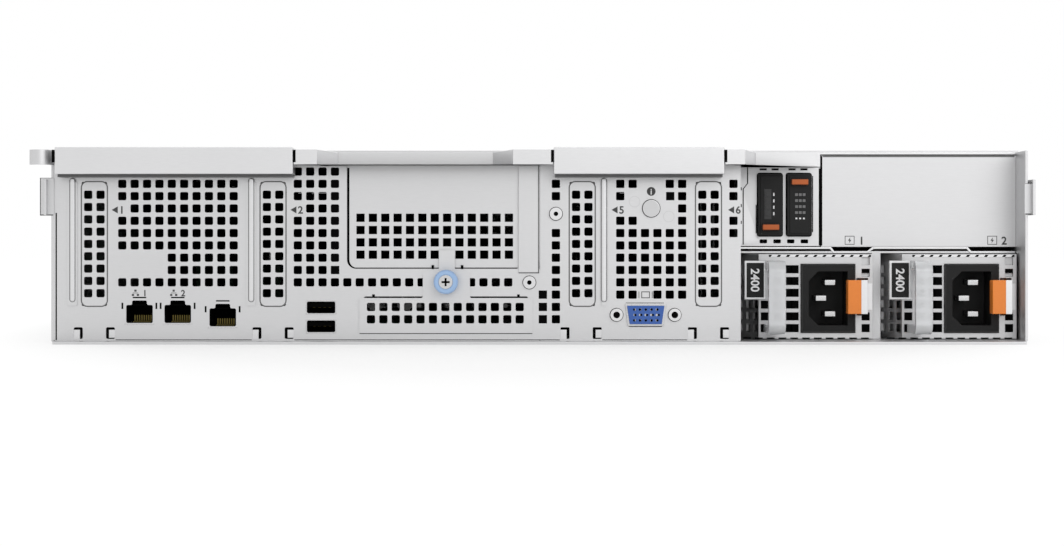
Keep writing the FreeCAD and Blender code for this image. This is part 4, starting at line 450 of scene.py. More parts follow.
def floor_material():
    """A white finish that keeps soft shadows near the server and is plain white further off."""
    material = bpy.data.materials.new("floor_white")
    material.use_nodes = True
    tree = material.node_tree
    shader = tree.nodes["Principled BSDF"]
    shader.inputs["Roughness"].default_value = FLOOR_ROUGHNESS
    noise = add(tree, "ShaderNodeTexNoise", Scale=3.0)
    ramp = add(tree, "ShaderNodeMapRange", To_Min=FLOOR_TONES[0], To_Max=FLOOR_TONES[1])
    glow = add(tree, "ShaderNodeEmission", Strength=FLOOR_GLOW)
    mix = add(tree, "ShaderNodeMixShader")
    path = add(tree, "ShaderNodeLightPath")
    place = add(tree, "ShaderNodeTexCoord")
    spread = add(tree, "ShaderNodeVectorMath", operation="MULTIPLY")
    spread.inputs[1].default_value = FLOOR_SPREAD
    reach = add(tree, "ShaderNodeVectorMath", operation="LENGTH")
    fade = add(tree, "ShaderNodeMapRange", From_Min=FLOOR_FADE[0], From_Max=FLOOR_FADE[1],
               To_Min=FLOOR_GLOW_SHARE, To_Max=1.0)
    share = add(tree, "ShaderNodeMath", operation="MULTIPLY")
    either = add(tree, "ShaderNodeMath", operation="MAXIMUM")
    wire(tree, (noise, "Fac", ramp, "Value"), (ramp, "Result", shader, "Base Color"),
         (place, "Object", spread, 0), (spread, 0, reach, 0), (reach, "Value", fade, "Value"),
         (fade, "Result", share, 1), (path, "Is Camera Ray", either, 0), (path, "Is Glossy Ray", either, 1),
         (either, 0, share, 0), (share, 0, mix, "Fac"), (shader, 0, mix, 1), (glow, 0, mix, 2),
         (mix, 0, tree.nodes["Material Output"], "Surface"))
    return material


def make_floor():
    """A wide floor, which is part of the stage."""
    mesh = bmesh.new()
    bmesh.ops.create_grid(mesh, x_segments=2, y_segments=2, size=FLOOR_HALF)
    data = bpy.data.meshes.new("floor")
    mesh.to_mesh(data)
    mesh.free()
    data.materials.append(floor_material())
    floor = bpy.data.objects.new("floor", data)
    bpy.context.collection.objects.link(floor)


def make_world(fill_light):
    """A world that is white to look at and in clear and glossy finishes, and lights less than that."""
    world = bpy.data.worlds.new("studio")
    bpy.context.scene.world = world
    world.use_nodes = True
    tree = world.node_tree
    tree.nodes.clear()
    path = add(tree, "ShaderNodeLightPath")
    either = add(tree, "ShaderNodeMath", operation="MAXIMUM")
    any_ray = add(tree, "ShaderNodeMath", operation="MAXIMUM")
    strength = add(tree, "ShaderNodeMapRange", To_Min=fill_light, To_Max=1.0)
    sky = add(tree, "ShaderNodeBackground", Color=(1, 1, 1, 1))
    out = add(tree, "ShaderNodeOutputWorld")
    wire(tree, (path, "Is Camera Ray", either, 0), (path, "Is Glossy Ray", either, 1),
         (either, 0, any_ray, 0), (path, "Is Transmission Ray", any_ray, 1), (any_ray, 0, strength, "Value"),
         (strength, "Result", sky, "Strength"), (sky, 0, out, "Surface"))


def lamp(name, place, aim, size, power):
    """A rectangular lamp that looks at a point."""
    data = bpy.data.lights.new(name, "AREA")
    data.shape = "RECTANGLE"
    data.size, data.size_y = size
    data.energy = power
    thing = bpy.data.objects.new(name, data)
    thing.location = place
    thing.rotation_euler = (Vector(aim) - Vector(place)).to_track_quat("-Z", "Y").to_euler()
    bpy.context.collection.objects.link(thing)


class StageOperator(bpy.types.Operator):
    """Set up the floor, the lamps, the world and the camera"""
    bl_idname = "rack_server.stage"
    bl_label = "Stage"

    def execute(self, context):
        settings = context.scene.rack_server
        rear = CAD_BOX[0][1]
        make_floor()
        make_world(settings.fill_light)
        lamp("key", (1.2, rear - 2.1, 0.95), (0.0, rear, 0.03), (2.0, 1.2), settings.key_power)
        lamp("top", (0.2, 0.0, 2.0), (0, 0, 0), (1.6, 1.6), settings.top_power)
        lamp("front_fill", (1.4, 2.0, 1.2), (0, 0.3, 0.04), (1.2, 1.2), settings.key_power * FRONT_SHARE)
        data = bpy.data.cameras.new("camera")
        data.lens = settings.lens
        data.sensor_width = SENSOR_WIDTH
        data.shift_x, data.shift_y = LENS_SHIFT
        data.clip_end = FAR_CLIP
        camera = bpy.data.objects.new("camera", data)
        camera.location = (0, rear - settings.camera_distance, CAMERA_HEIGHT)
        camera.rotation_euler = (math.pi / 2, 0, 0)
        context.collection.objects.link(camera)
        context.scene.camera = camera
        context.scene.view_settings.view_transform = "Standard"
        return {"FINISHED"}


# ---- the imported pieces

class FinishOperator(bpy.types.Operator):
    """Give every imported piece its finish"""
    bl_idname = "rack_server.finishes"
    bl_label = "Finishes"

    def execute(self, context):
        grain_group()
        for name, row in FINISHES.items():
            MATERIALS[name] = make_material(context.scene.rack_server, name, *row)
        for node, slot in NODE_SLOT.items():
            data = frame["nodes"][node].data
            data.materials.clear()
            data.materials.append(MATERIALS[slot])
        return {"FINISHED"}


class SoftenOperator(bpy.types.Operator):
    """Soften the edges of the pieces that show from outside"""
    bl_idname = "rack_server.soften"
    bl_label = "Softened Edges"

    def execute(self, context):
        edge = context.scene.rack_server.edge_width
        for node in sorted(set(NODE_SLOT) - set(PLAIN_NODES)):
            share = EDGE_SHARES.get(node, PUNCHED_SHARE if node in PUNCHED_NODES else 1.0)
            softened_copy(node, NODE_SLOT[node], edge * share)
        return {"FINISHED"}


# ---- rear panels

class ThumbScrewOperator(bpy.types.Operator):
    """The knurled captive screw with its steel core"""
    bl_idname = "rack_server.thumb_screw"
    bl_label = "Thumb Screw"

    def execute(self, context):
        low, high = span("captive_screw")
        middle = (low + high) / 2
        length, ridges, ridge_inset, ridge_size = 8.0, 36, 0.7, 0.3
        core_radius, core_out, cross_long, cross_thin = 3.1, 0.3, 3.6, 0.9
        collar_out, collar_thick = 0.35, 0.4
        radius = (high.x - low.x) / 2 - 0.25
        head, core, cross = new_meshes(3)
        add_rod(head, (middle.x, low.y, middle.z), radius, length, segments=48)
        for step in range(ridges):
            turn = 2 * math.pi * step / ridges
            across, up = radius * math.cos(turn), radius * math.sin(turn)
            spot = (middle.x + across, low.y + ridge_inset, middle.z + up)
            add_rod(head, spot, ridge_size, length - 2 * ridge_inset, segments=6)
        add_ring(head, (middle.x, low.y - collar_out, middle.z), radius - collar_out, core_radius + 0.2,
                 collar_thick, segments=48)
        add_rod(core, (middle.x, low.y - core_out, middle.z), core_radius, high.y - low.y)
        # The cross recess of the head is a dark mark of painted shade
        for wide, tall in ((cross_long, cross_thin), (cross_thin, cross_long)):
            add_mark(cross, middle.x - wide / 2, middle.z - tall / 2, wide, tall, low.y - 0.34, low.y - 0.2)
        body = "captive_screw"
        things = [finish_piece("thumb_screw_head", head, "pale_blue_plastic", body, 0.1, ROUND_ANGLE),
                  finish_piece("thumb_screw_core", core, "steel_pin", body, 0.15, ROUND_ANGLE),
                  finish_piece("thumb_screw_cross", cross, "dark_inside", body)]
        for thing in things:
            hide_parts(body)
        return {"FINISHED"}


def network_socket(node, linings, pins, slots, lips):
    """A keyed socket: linings of painted shade, eight contacts, the lip below, and the slot and windows round
    it, painted dark as shade.
    """
    low, high = span(node)
    rim, tall, key_half, key_top, bar_half = 1.5, 8.0, 3.3, 10.0, 3.0
    contacts, pitch, off_centre, pin_half, pin_base = 8, 1.02, 0.8, 0.2, 0.25
    left, right, base = low.x + rim, high.x - rim, low.z + rim
    middle = (left + right) / 2
    mouth, end, cut = WALL + 0.6, WALL + 14.8, WALL + 0.2
    add_liner(linings, (left, mouth, base), (right, end, base + tall))
    add_liner(linings, (middle - key_half, mouth, base + tall), (middle + key_half, end, base + key_top))
    add_mark(linings, middle - bar_half, base + 7.8, 2 * bar_half, 0.4, WALL + 3.2, WALL + 14)
    for step in range(contacts):
        pin = middle + off_centre + (step - (contacts - 1) / 2) * pitch - pin_half
        add_mark(pins, pin, base + pin_base, 2 * pin_half, 0.45, WALL + 1.6, WALL + 9)
        add_mark(pins, pin, base + pin_base, 2 * pin_half, 3.15, WALL + 4.6, WALL + 5.0)
    add_mark(slots, middle - bar_half, base + 11.0, 2 * bar_half, 0.6, WALL - SKIN, cut)
    add_box(lips, (left - 0.8, WALL - 0.25, base - 0.8), (right + 0.6, WALL + PROUD, base - 0.1))
    for side in (left - 2.1, right + 1.2):
        add_mark(slots, side, base + 6.2, 0.8, 2.8, WALL - SKIN, cut)


def serial_sockets(linings, pins, lips):
    """Two stacked flat sockets: rims, linings of painted shade, black tongues and four contacts each."""
    low, high = span("usb_ports")
    lift, tall, pitch, inset, rim, end = 8.4, 5.2, 2.3, 0.6, 0.5, WALL + 15.9
    for step in range(2):
        base = low.z + inset + step * lift
        add_frame(lips, (low.x + 0.1, WALL - 0.25, base - rim),
                  (high.x - 0.1, WALL + 0.3, base + tall + rim), rim)
        add_liner(linings, (low.x + inset, WALL + 0.3, base), (high.x - inset, end, base + tall))
        add_box(linings, (low.x + 1.1, WALL + 1.6, base + 2.6), (high.x - 1.1, end, base + 4.6))
        for pin in range(4):
            add_mark(pins, low.x + 3.1 + pin * pitch, base + 2.5, 1.1, 0.12, WALL + 2.4, WALL + 9)


class SocketOperator(bpy.types.Operator):
    """Painted-shade linings, lips, contacts and tongues of the network and serial sockets"""
    bl_idname = "rack_server.sockets"
    bl_label = "Sockets"

    def execute(self, context):
        linings, pins, slots, lips = new_meshes(4)
        for node in ("ethernet_port_1", "ethernet_port_2", "management_port"):
            network_socket(node, linings, pins, slots, lips)
        serial_sockets(linings, pins, lips)
        # The linings and slots are painted shade in and round the sockets; the tongues share the linings'
        # black finish
        finish_piece("socket_linings", linings, "dark_inside", "chassis")
        finish_piece("socket_contacts", pins, "dull_gold", "chassis")
        finish_piece("socket_slots", slots, "dark_inside", "chassis")
        finish_piece("socket_lips", lips, "steel_pin", "chassis", 0.08)
        return {"FINISHED"}


def post_places():
    """Centres of the screw posts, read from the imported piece's separate solids."""
    mesh = merged_copy("panel_nuts")
    left = set(mesh.verts)
    places = []
    while left:
        shell, wave = set(), [next(iter(left))]
        while wave:
            vert = wave.pop()
            if vert in shell:
                continue
            shell.add(vert)
            wave.extend(edge.other_vert(vert) for edge in vert.link_edges)
        left -= shell
        spots = [TO_SHEET @ vert.co for vert in shell]
        places.append(Vector(((min(s.x for s in spots) + max(s.x for s in spots)) / 2,
                              (min(s.z for s in spots) + max(s.z for s in spots)) / 2)))
    mesh.free()
    return places


class DisplayOperator(bpy.types.Operator):
    """The metal rim of the display connector with its holes in painted shade, and the screw posts with bores
    and lines of painted shade
    """
    bl_idname = "rack_server.display"
    bl_label = "Display Connector"

    def execute(self, context):
        low, high = span("display_connector")
        middle = (low + high) / 2
        rim_out, rim_wide, taper = 0.9, 0.9, 1.2
        first_across, first_up, pitch, rise, hole_radius, hole_deep = 3.1, 1.7, 2.6, 2.4, 0.5, 0.6
        rim, holes = new_meshes(2)
        for vert in add_box(rim, (low.x - rim_wide, WALL - rim_out, low.z - rim_wide),
                            (high.x + rim_wide, WALL, high.z + rim_wide)):
            if vert.co.z < middle.z:
                vert.co.x += taper if vert.co.x < middle.x else -taper
        finish_piece("display_rim", rim, "steel_pin", "chassis", 0.25)
        # Each pin hole is a dark disc of painted shade
        for column in range(5):
            for row in range(3):
                stagger = 0.6 if row == 1 else 0
                across, up = first_across + column * pitch + stagger, first_up + row * rise
                spot = (low.x + across, low.y - SKIN, low.z + up)
                add_rod(holes, spot, hole_radius, hole_deep, segments=12)
        finish_piece("display_holes", holes, "dark_inside", "chassis")
        face = span("panel_nuts")[0].y
        lower_row, wide_bore, narrow_bore, bore_deep = 20, 1.5, 1.0, 0.4
        ring_outer, ring_inner, line_outer, line_inner = 2.5, 1.4, 3.1, 2.75
        rings, bores, lines = new_meshes(3)
        # The bores, the rings round the posts and the lines along the connector are painted shade
        for place in post_places():
            add_ring(rings, (place.x, face - 0.06, place.y), ring_outer, ring_inner, 0.1, segments=28)
            add_ring(lines, (place.x, WALL - LINE_RELIEF, place.y), line_outer, line_inner, 0.06, segments=28)
            bore = wide_bore if place.y < lower_row else narrow_bore
            add_rod(bores, (place.x, face - 0.08, place.y), bore, bore_deep, segments=20)
        add_box(lines, (low.x - 0.4, WALL - SKIN, high.z + 1.1), (high.x - 0.2, WALL + PROUD, high.z + 1.35))
        add_box(lines, (low.x + 0.7, WALL - SKIN, low.z - 1.1), (high.x - 1.0, WALL + PROUD, low.z - 0.8))
        finish_piece("post_rings", rings, "bright_sheet", "chassis")
        finish_piece("post_bores", bores, "dark_inside", "chassis")
        finish_piece("post_lines", lines, "dark_metal", "chassis")
        return {"FINISHED"}


class PrintOperator(bpy.types.Operator):
    """Plain numbers and small signs on the rear panels"""
    bl_idname = "rack_server.print"
    bl_label = "Printed Marks"

    # The boxes and the line of the network sign: across and up from a socket's top, and the size
    NETWORK_SIGN = ((-2.3, 2.4, 1.0, 0.9), (-3.4, 0.5, 1.0, 0.9), (-1.2, 0.5, 1.0, 0.9),
                    (-3.0, 1.7, 2.4, 0.25))

    def execute(self, context):
        rear = WALL - PRINT_RELIEF / 2
        front = rear + PROUD
        slot_drop, slot_size, arrow_size, port_size, letter_size = 14.6, 4.6, 1.8, 3.9, 3.6
        signs, letter = new_meshes(2)
        base = span("slot_1_filler")[1].z - slot_drop
        to_left = Matrix.Rotation(math.pi / 2, 4, "X") @ Matrix.Rotation(math.pi / 2, 4, "Z")
        for number, reach in SLOT_MARKS.items():
            edge = span(f"slot_{number}_filler")[1].x + reach
            print_arrow(signs, (edge + 0.4, rear, base + 2.3), to_left, arrow_size)
            print_text(signs, str(number), edge + 3.1, rear, base + 0.7, slot_size)
        for number in (1, 2):
            middle = middle_of(f"ethernet_port_{number}").x
            top = span(f"ethernet_port_{number}")[1].z
            print_text(signs, str(number), middle + 2.4, rear, top + 0.4, port_size)
            for across, up, wide, tall in self.NETWORK_SIGN:
                add_mark(signs, middle + across, top + up, wide, tall, rear, front)
        middle, top = middle_of("display_connector").x, span("display_connector")[1].z
        tall, half, stroke, bar = 3.0, 1.9, 0.35, 0.3
        base = top + 3.3
        add_frame(signs, (middle - half, rear, base), (middle + half, front, base + tall), stroke)
        for side in (middle - 3.1, middle + 2.8):
            add_mark(signs, side, base, bar, tall, rear, front)
        middle, top = middle_of("locator_button").x, span("locator_button")[1].z
        disc_radius = 1.95
        add_rod(signs, (middle, rear, top + 2.8), disc_radius, PROUD, segments=28)
        print_text(letter, "i", middle, rear - LINE_RELIEF, top + 1.5, letter_size)
        finish_piece("locator_sign", letter, "white_ink", "chassis")
        finish_piece("panel_print", signs, "ink", "chassis")
        self.supply_signs()
        return {"FINISHED"}

    def supply_signs(self):
        """A framed bolt and a number above each supply."""
        rear = span("blank_panel")[0].y - PRINT_RELIEF / 2
        front = rear + PROUD
        shift, half, height, stroke, number_size = 50.3, 2.2, 45.9, 0.3, 5.0
        bolt = ((0.3, 1.4), (-0.8, -0.2), (-0.1, -0.2), (-0.3, -1.4), (0.8, 0.2), (0.1, 0.2))
        signs = bmesh.new()
        for number in (1, 2):
            middle = span(f"supply_{number}_case")[0].x + shift
            add_frame(signs, (middle - half, rear, height - 2), (middle + half, front, height + 2), stroke)
            add_plate(signs, [(middle + across, height + up) for across, up in bolt], rear, front)
            print_text(signs, str(number), middle + 5.4, rear, height - 1.9, number_size)
        finish_piece("supply_numbers", signs, "ink", "chassis")


class StartDriveOperator(bpy.types.Operator):
    """Faces of the two start drives, with their orange pull tabs"""
    bl_idname = "rack_server.start_drives"
    bl_label = "Start Drives"

    def execute(self, context):
        for number in (1, 2):
            self.drive(number)
        self.gaps()
        return {"FINISHED"}

    def drive(self, number):
        """One drive's face, its tab, and its ribs and light dashes."""
        body = f"boot_module_{number}"
        low, high = span(body)
        rim, set_back, tab_side, tab_tall = 0.9, 3.0, 1.6, 2.7
        face = low.y + set_back
        panel, tab, ribs, dashes = new_meshes(4)
        add_box(panel, (low.x + rim, face - 0.4, low.z + rim), (high.x - rim, face + 1.6, high.z - rim))
        finish_piece(f"start_drive_{number}_face", panel, "black_plastic", body, 0.3)
        base = low.z + 2.45 if number == 1 else high.z - 5.15
        add_box(tab, (low.x + tab_side, low.y - PROUD, base), (high.x - tab_side, face, base + tab_tall))
        finish_piece(f"start_drive_{number}_tab", tab, "dull_orange", body, 0.35)
        if number == 1:
            add_box(ribs, (low.x + 2.6, face - 0.5, low.z + 7.4), (low.x + 5.8, face - 0.3, high.z - 7.0))
            rise = 2.9
            for row in range(4):
                base = low.z + 9.0 + row * rise
                add_mark(ribs, low.x + 3.0, base, 2.2, 1.8, face - 0.9, face - 0.4)
                add_mark(dashes, low.x + 6.6, base + 0.2, 0.6, 1.4, face - 0.46, face - 0.3)
        else:
            pitch, rise = 1.7, 2.7
            for row in range(4):
                for column in range(3):
                    left, base = low.x + 3.4 + column * pitch, low.z + 9.8 + row * rise
                    add_mark(ribs, left, base, 1.3, 1.2, face - 0.6, face - 0.3)
            for column in range(3):
                add_mark(dashes, low.x + 3.6 + column * pitch, low.z + 7.4, 0.8, 0.7, face - 0.46, face - 0.3)
        rib_finish = "dark_metal" if number == 1 else "grey_plastic"
        finish_piece(f"start_drive_{number}_ribs", ribs, rib_finish, body, 0.1)
        finish_piece(f"start_drive_{number}_dashes", dashes, "white_ink", body)

    def gaps(self):
        """Painted shade in the gaps round the drives and in the small slots of their frame."""
        low, high = span("boot_frame")
        plane = low.y - SKIN
        corner, line, slot_rise = 0.8, 0.5, 7.6
        gaps = bmesh.new()
        for number in (1, 2):
            drive_low, drive_high = span(f"boot_module_{number}")
            add_outline(gaps, (drive_low.x, plane, drive_low.z), (drive_high.x, drive_high.z), corner, line)
        for number in (1, 2):
            left = span(f"boot_module_{number}")[0].x
            for spot in (left + 0.8, left + 6.2):
                add_mark(gaps, spot, high.z - 1.3, 3.2, 0.9, plane, low.y + 0.2)
        for row in range(3):
            add_mark(gaps, low.x + 2.2, low.z + 10 + row * slot_rise, 1.0, 1.4, plane, low.y + 0.1)
        finish_piece("start_drive_gaps", gaps, "dark_inside", "chassis")


class SupplyOperator(bpy.types.Operator):
    """Contacts, label plates, side flaps and vents of the power supplies"""
    bl_idname = "rack_server.supplies"
    bl_label = "Power Supplies"

    def execute(self, context):
        for number in (1, 2):
            self.inlet(number, f"supply_{number}")
            self.rating_plate(number, f"supply_{number}")
            self.latch(number, f"supply_{number}")
            self.vents(number, f"supply_{number}")
        return {"FINISHED"}

    def inlet(self, number, body):
        """Three contacts and the rim of the mains inlet."""
        low, high = span(f"supply_{number}_inlet")
        middle = (low + high) / 2
        pitch, wide, tall, earth_shift, rim_wide, rim_out = 7.1, 4.7, 2.3, 4.1, 0.8, 0.3
        contacts, rim = new_meshes(2)
        for step, shift in ((-1, 0.0), (0, earth_shift), (1, 0.0)):
            left, base = middle.x - 0.95 - shift, middle.z + step * pitch - tall / 2
            add_mark(contacts, left, base, wide, tall, low.y + 4.9, low.y + 16)
        finish_piece(f"inlet_{number}_contacts", contacts, "steel_pin", body, 0.2)
        add_frame(rim, (low.x - 0.02, low.y - rim_out, low.z), (high.x, low.y + rim_out, high.z), rim_wide)
        finish_piece(f"inlet_{number}_rim", rim, "charcoal_plastic", body, 0.2)

    def rating_plate(self, number, body):
        """The label flag on the handle, with its number turned on its side."""
        low, high = span(f"supply_{number}_handle")
        flag_wide, flag_behind, number_size = 9.6, 15, 5.2
        left, right, top = low.x, low.x + flag_wide, high.z
        face = low.y + flag_behind - LINE_RELIEF
        border, plate, figures = new_meshes(3)
        add_box(border, (left + 0.2, face - 0.5, top - 17.2), (right - 0.2, face, top - 0.2))
        finish_piece(f"rating_plate_{number}_border", border, "white_ink", body, 0.25)
        add_box(plate, (left + 1.0, face - 0.7, top - 16.4), (right - 0.9, face - 0.4, top - 1.0))
        finish_piece(f"rating_plate_{number}", plate, "black_plastic", body, 0.25)
        print_text(figures, "2400", 0, 0, 0, number_size)
        spot = Matrix.Translation(((left + right) / 2 - 1.8, face - 0.75, top - 8.7))
        bmesh.ops.transform(figures, matrix=spot @ Matrix.Rotation(math.pi / 2, 4, "Y"), verts=figures.verts)
        finish_piece(f"rating_number_{number}", figures, "white_ink", body)

    def latch(self, number, body):
        """The bright flap beside the latch, and the latch's own plate."""
        low, high = span(f"supply_{number}_case")
        tab_low, tab_high = span(f"supply_{number}_latch")
        flap, plate = new_meshes(2)
        add_box(flap, (tab_high.x + 0.5, low.y - 0.25, tab_low.z + 1.6),
                (high.x - 0.4, low.y, tab_high.z - 1.6))
        finish_piece(f"supply_{number}_flap", flap, "bright_sheet", body, 0.12)
        add_box(plate, (tab_low.x + 5.9, tab_low.y - 0.1, tab_low.z - PROUD),
                (tab_high.x + PROUD, tab_low.y + 2.6, tab_high.z + PROUD))
        finish_piece(f"supply_{number}_latch_plate", plate, "bright_sheet", f"supply_{number}_latch", 0.2)

    def vents(self, number, body):
        """Painted shade behind the square vents of the supply's face."""
        low = span(f"supply_{number}_case")[0]
        pitch, side, first_row, all_rows = 5.3, 3.4, 3.1, range(6)
        columns = [(22.9, all_rows), (54.9, (0, 1, 5))]
        columns += [(9.5 + column * pitch, all_rows) for column in range(3)]
        holes = bmesh.new()
        for left, rows in columns:
            for row in rows:
                base = low.z + first_row + row * pitch
                add_mark(holes, low.x + left, base, side, side, low.y + 0.4, low.y + 1.9)
        finish_piece(f"supply_{number}_depths", holes, "dark_inside", body)


# ---- sheet metal, cover, sides, front and inside

class SheetOperator(bpy.types.Operator):
    """Press marks, painted shade in seams, slits, vents and gaps, and joggles of the rear sheet metal"""
    bl_idname = "rack_server.sheet_marks"
    bl_label = "Sheet Marks"

    # Places across and up from a piece, its edge or the left side: dimples from the locator button, pressed
    # ribs from their slot's filler, small slits, and shut vents painted dark as open ones, both in painted
    # shade; by left edge and row
    DIMPLES = ((-7.4, 3.0), (7.8, -3.6))
    RIBS = ((1, -4.1), (2, -4.1), (5, 4.15))
    SLITS = (169.0, 182.0)
    SHUT_VENTS = ((216.6, 0), (216.6, 1), (216.6, 2), (124.3, 4), (273.2, 10))
    # A line of painted shade along the right edge of the start drives' frame, from its top down
    FRAME_EDGE = ((311.0, 79.0), (311.0, 71.6), (309.0, 69.2), (309.0, 43.9))
    # Left, right, base, top and the way out of each hook
    HOOKS = ((-4.5, 1.3, 57.3, 73.4, -1), (432.4, 436.4, 57.7, 70.9, 1))

    def execute(self, context):
        self.dimples()
        self.filler_edges()
        tabs = self.wall_shades()
        self.straps()
        finish_piece("notch_tabs", tabs, "bright_sheet", "chassis", 0.12)
        self.seams()
        self.cage_lips()
        self.side_hooks()
        for number in (1, 2):
            self.spring_strip(number, f"supply_{number}")
        return {"FINISHED"}

    def dimples(self):
        """Rims of the two pressed dimples beside the locator button."""
        middle = middle_of("locator_button")
        outer, inner, raised, thick = 2.5, 2.25, 0.1, 0.06
        rings = bmesh.new()
        for across, up in self.DIMPLES:
            add_ring(rings, (middle.x + across, WALL - raised, middle.z + up), outer, inner, thick)
        finish_piece("dimple_rings", rings, "supply_metal", "chassis")

    def filler_edges(self):
        """Lines of painted shade round the fillers, under the display connector, round the locator button and
        beside the crests of the pressed ribs; the button's cap; and the crests.
        """
        corner, line, display_half = 2.4, 0.55, 7.2
        crest_half, crest_line, crest_end, crest_round, crest_shade = 0.85, 0.2, 1.5, 1.0, 0.3
        lines, cap, crests = new_meshes(3)
        for number in SLOT_MARKS:
            low, high = span(f"slot_{number}_filler")
            add_outline(lines, (low.x, WALL - PROUD, low.z), (high.x, high.z), corner, line)
        low, middle = span("display_connector")[0], middle_of("display_connector").x
        add_mark(lines, middle - display_half, low.z - 1.3, 2 * display_half, 0.45, WALL - PROUD, WALL + 0.02)
        low, high = span("locator_button")
        middle, radius = (low + high) / 2, (high.x - low.x) / 2
        add_ring(lines, (middle.x, WALL - PROUD, middle.z), radius - 0.6, radius - 1.05, 0.08)
        add_rod(cap, (middle.x, low.y - 0.08, middle.z), radius - 1.3, 0.2, segments=48)
        finish_piece("locator_button_cap", cap, "supply_metal", "locator_button", 0.05, ROUND_ANGLE)
        for number, shift in self.RIBS:
            low, high = span(f"slot_{number}_filler")
            middle = low.x + shift if shift < 0 else high.x + shift
            left, right, top = middle - crest_half, middle + crest_half, high.z + crest_end
            add_outline(lines, (left - crest_line, WALL - 0.86, low.z + 1.9), (right + crest_line, top),
                        crest_round, crest_shade)
            add_box(crests, (left, WALL - 1.05, low.z + 2.2), (right, WALL - 0.5, top))
        finish_piece("rib_crests", crests, "bright_sheet", "chassis", 0.3, RIDGE_ANGLE)
        finish_piece("filler_lines", lines, "line_grey", "chassis")

    def wall_shades(self):
        """Painted shade along the window, below the card's blank, in slits and shut vents, in the notches
        under the fillers, along the base between them and up the left edge. Gives back the mesh of the tabs
        that stand in the notches."""
        shades, tabs = new_meshes(2)
        self.window_shades(shades)
        rear, front = WALL - PROUD, WALL + PROUD
        low, high = span("card_blank")
        add_box(shades, (low.x, WALL - SKIN, low.z - 0.35), (high.x, front, low.z - 0.05))
        for left in (low.x + 5.6, high.x - 6.8):
            add_mark(shades, left, low.z + 15.8, 1.2, 1.4, rear, front)
        for left in self.SLITS:
            add_mark(shades, left, 33.0, 1.1, 1.8, rear, front)
        vent, rise, first_row = 3.7, 5.47, 8.9
        for left, row in self.SHUT_VENTS:
            add_mark(shades, left, first_row + row * rise, vent, vent, WALL - LINE_RELIEF, WALL + 0.3)
        wide, tall, tab, notches = 4, 5.2, 2.72, []
        for number in SLOT_MARKS:
            low, high = span(f"slot_{number}_filler")
            shift = 0.5 if number == 5 else 0
            first, last = low.x - 3.65 - shift, high.x - 0.35 - shift
            notches.append((first, last))
            add_mark(tabs, first - 0.02, NOTCH_BASE - 0.1, tab, 4.2, WALL + 0.15, WALL + 0.6)
            add_mark(tabs, last + 1.3, NOTCH_BASE + 0.5, tab, 3.6, WALL + 0.15, WALL + 0.6)
            for left in (first, last):
                add_mark(shades, left, NOTCH_BASE, wide, tall, WALL + 0.7, WALL + 0.95)
        for (_first, start), (end, _last) in zip(notches, notches[1:]):
            add_box(shades, (start + wide + 0.3, WALL - LINE_RELIEF, 1.45), (end - 0.3, front, 1.75))
        add_mark(shades, 1.9, 1.5, 0.6, 56.5, rear, front)
        finish_piece("sheet_shades", shades, "dark_inside", "chassis")
        return tabs

    def window_shades(self, shades):
        """Painted shade along the edge of the window over the set-back panel, with its round corner, and
        behind the vents of the panel's lap.
        """
        low, high = span("middle_panel")
        corner, side, under, turns = 4.0, 1.0, 0.5, 8
        rear, front = WALL + 0.9, WALL + 0.99
        left, base = WINDOW
        add_box(shades, (low.x + 0.2, WALL + 0.7, low.z + 6), (left - 0.3, WALL + 0.98, high.z - 1))
        rounds = [[(left + corner - across * math.cos(turn), base + corner - up * math.sin(turn))
                   for turn in (math.pi / 2 * step / turns for step in range(turns + 1))]
                  for across, up in ((corner, corner), (corner - side, corner - under))]
        add_plate(shades, rounds[0] + rounds[1][::-1], rear, front)
        add_box(shades, (left, rear, base + corner), (left + side, front, high.z - 1.1))
        add_box(shades, (left + corner, rear, base), (span("rear_wall_left")[1].x - 10, front, base + under))

    def straps(self):
        """Plain straps over part of the vents, and the shadow lines of the tall one."""
        straps, lines = new_meshes(2)
        face = span("middle_panel")[0].y
        left, right, top = 207.7, 216.3, 79.0
        add_box(straps, (172.2, WALL - 0.25, 31.9), (179.4, WALL + 0.1, 41.5))
        add_box(straps, (256.4, WALL - PROUD, 63.3), (260.5, WALL + 0.3, 67.6))
        add_box(straps, (left, face - 0.2, 31.6), (right, face + 0.1, top))
        finish_piece("panel_straps", straps, "zinc_sheet", "chassis", 0.12)
        add_box(lines, (right + 0.02, face - 0.06, 31.4), (right + 0.45, face + 0.1, top))
        add_box(lines, (left, face - 0.06, 31.2), (right + 0.45, face + 0.1, 31.58))
        finish_piece("strap_lines", lines, "line_grey", "chassis")

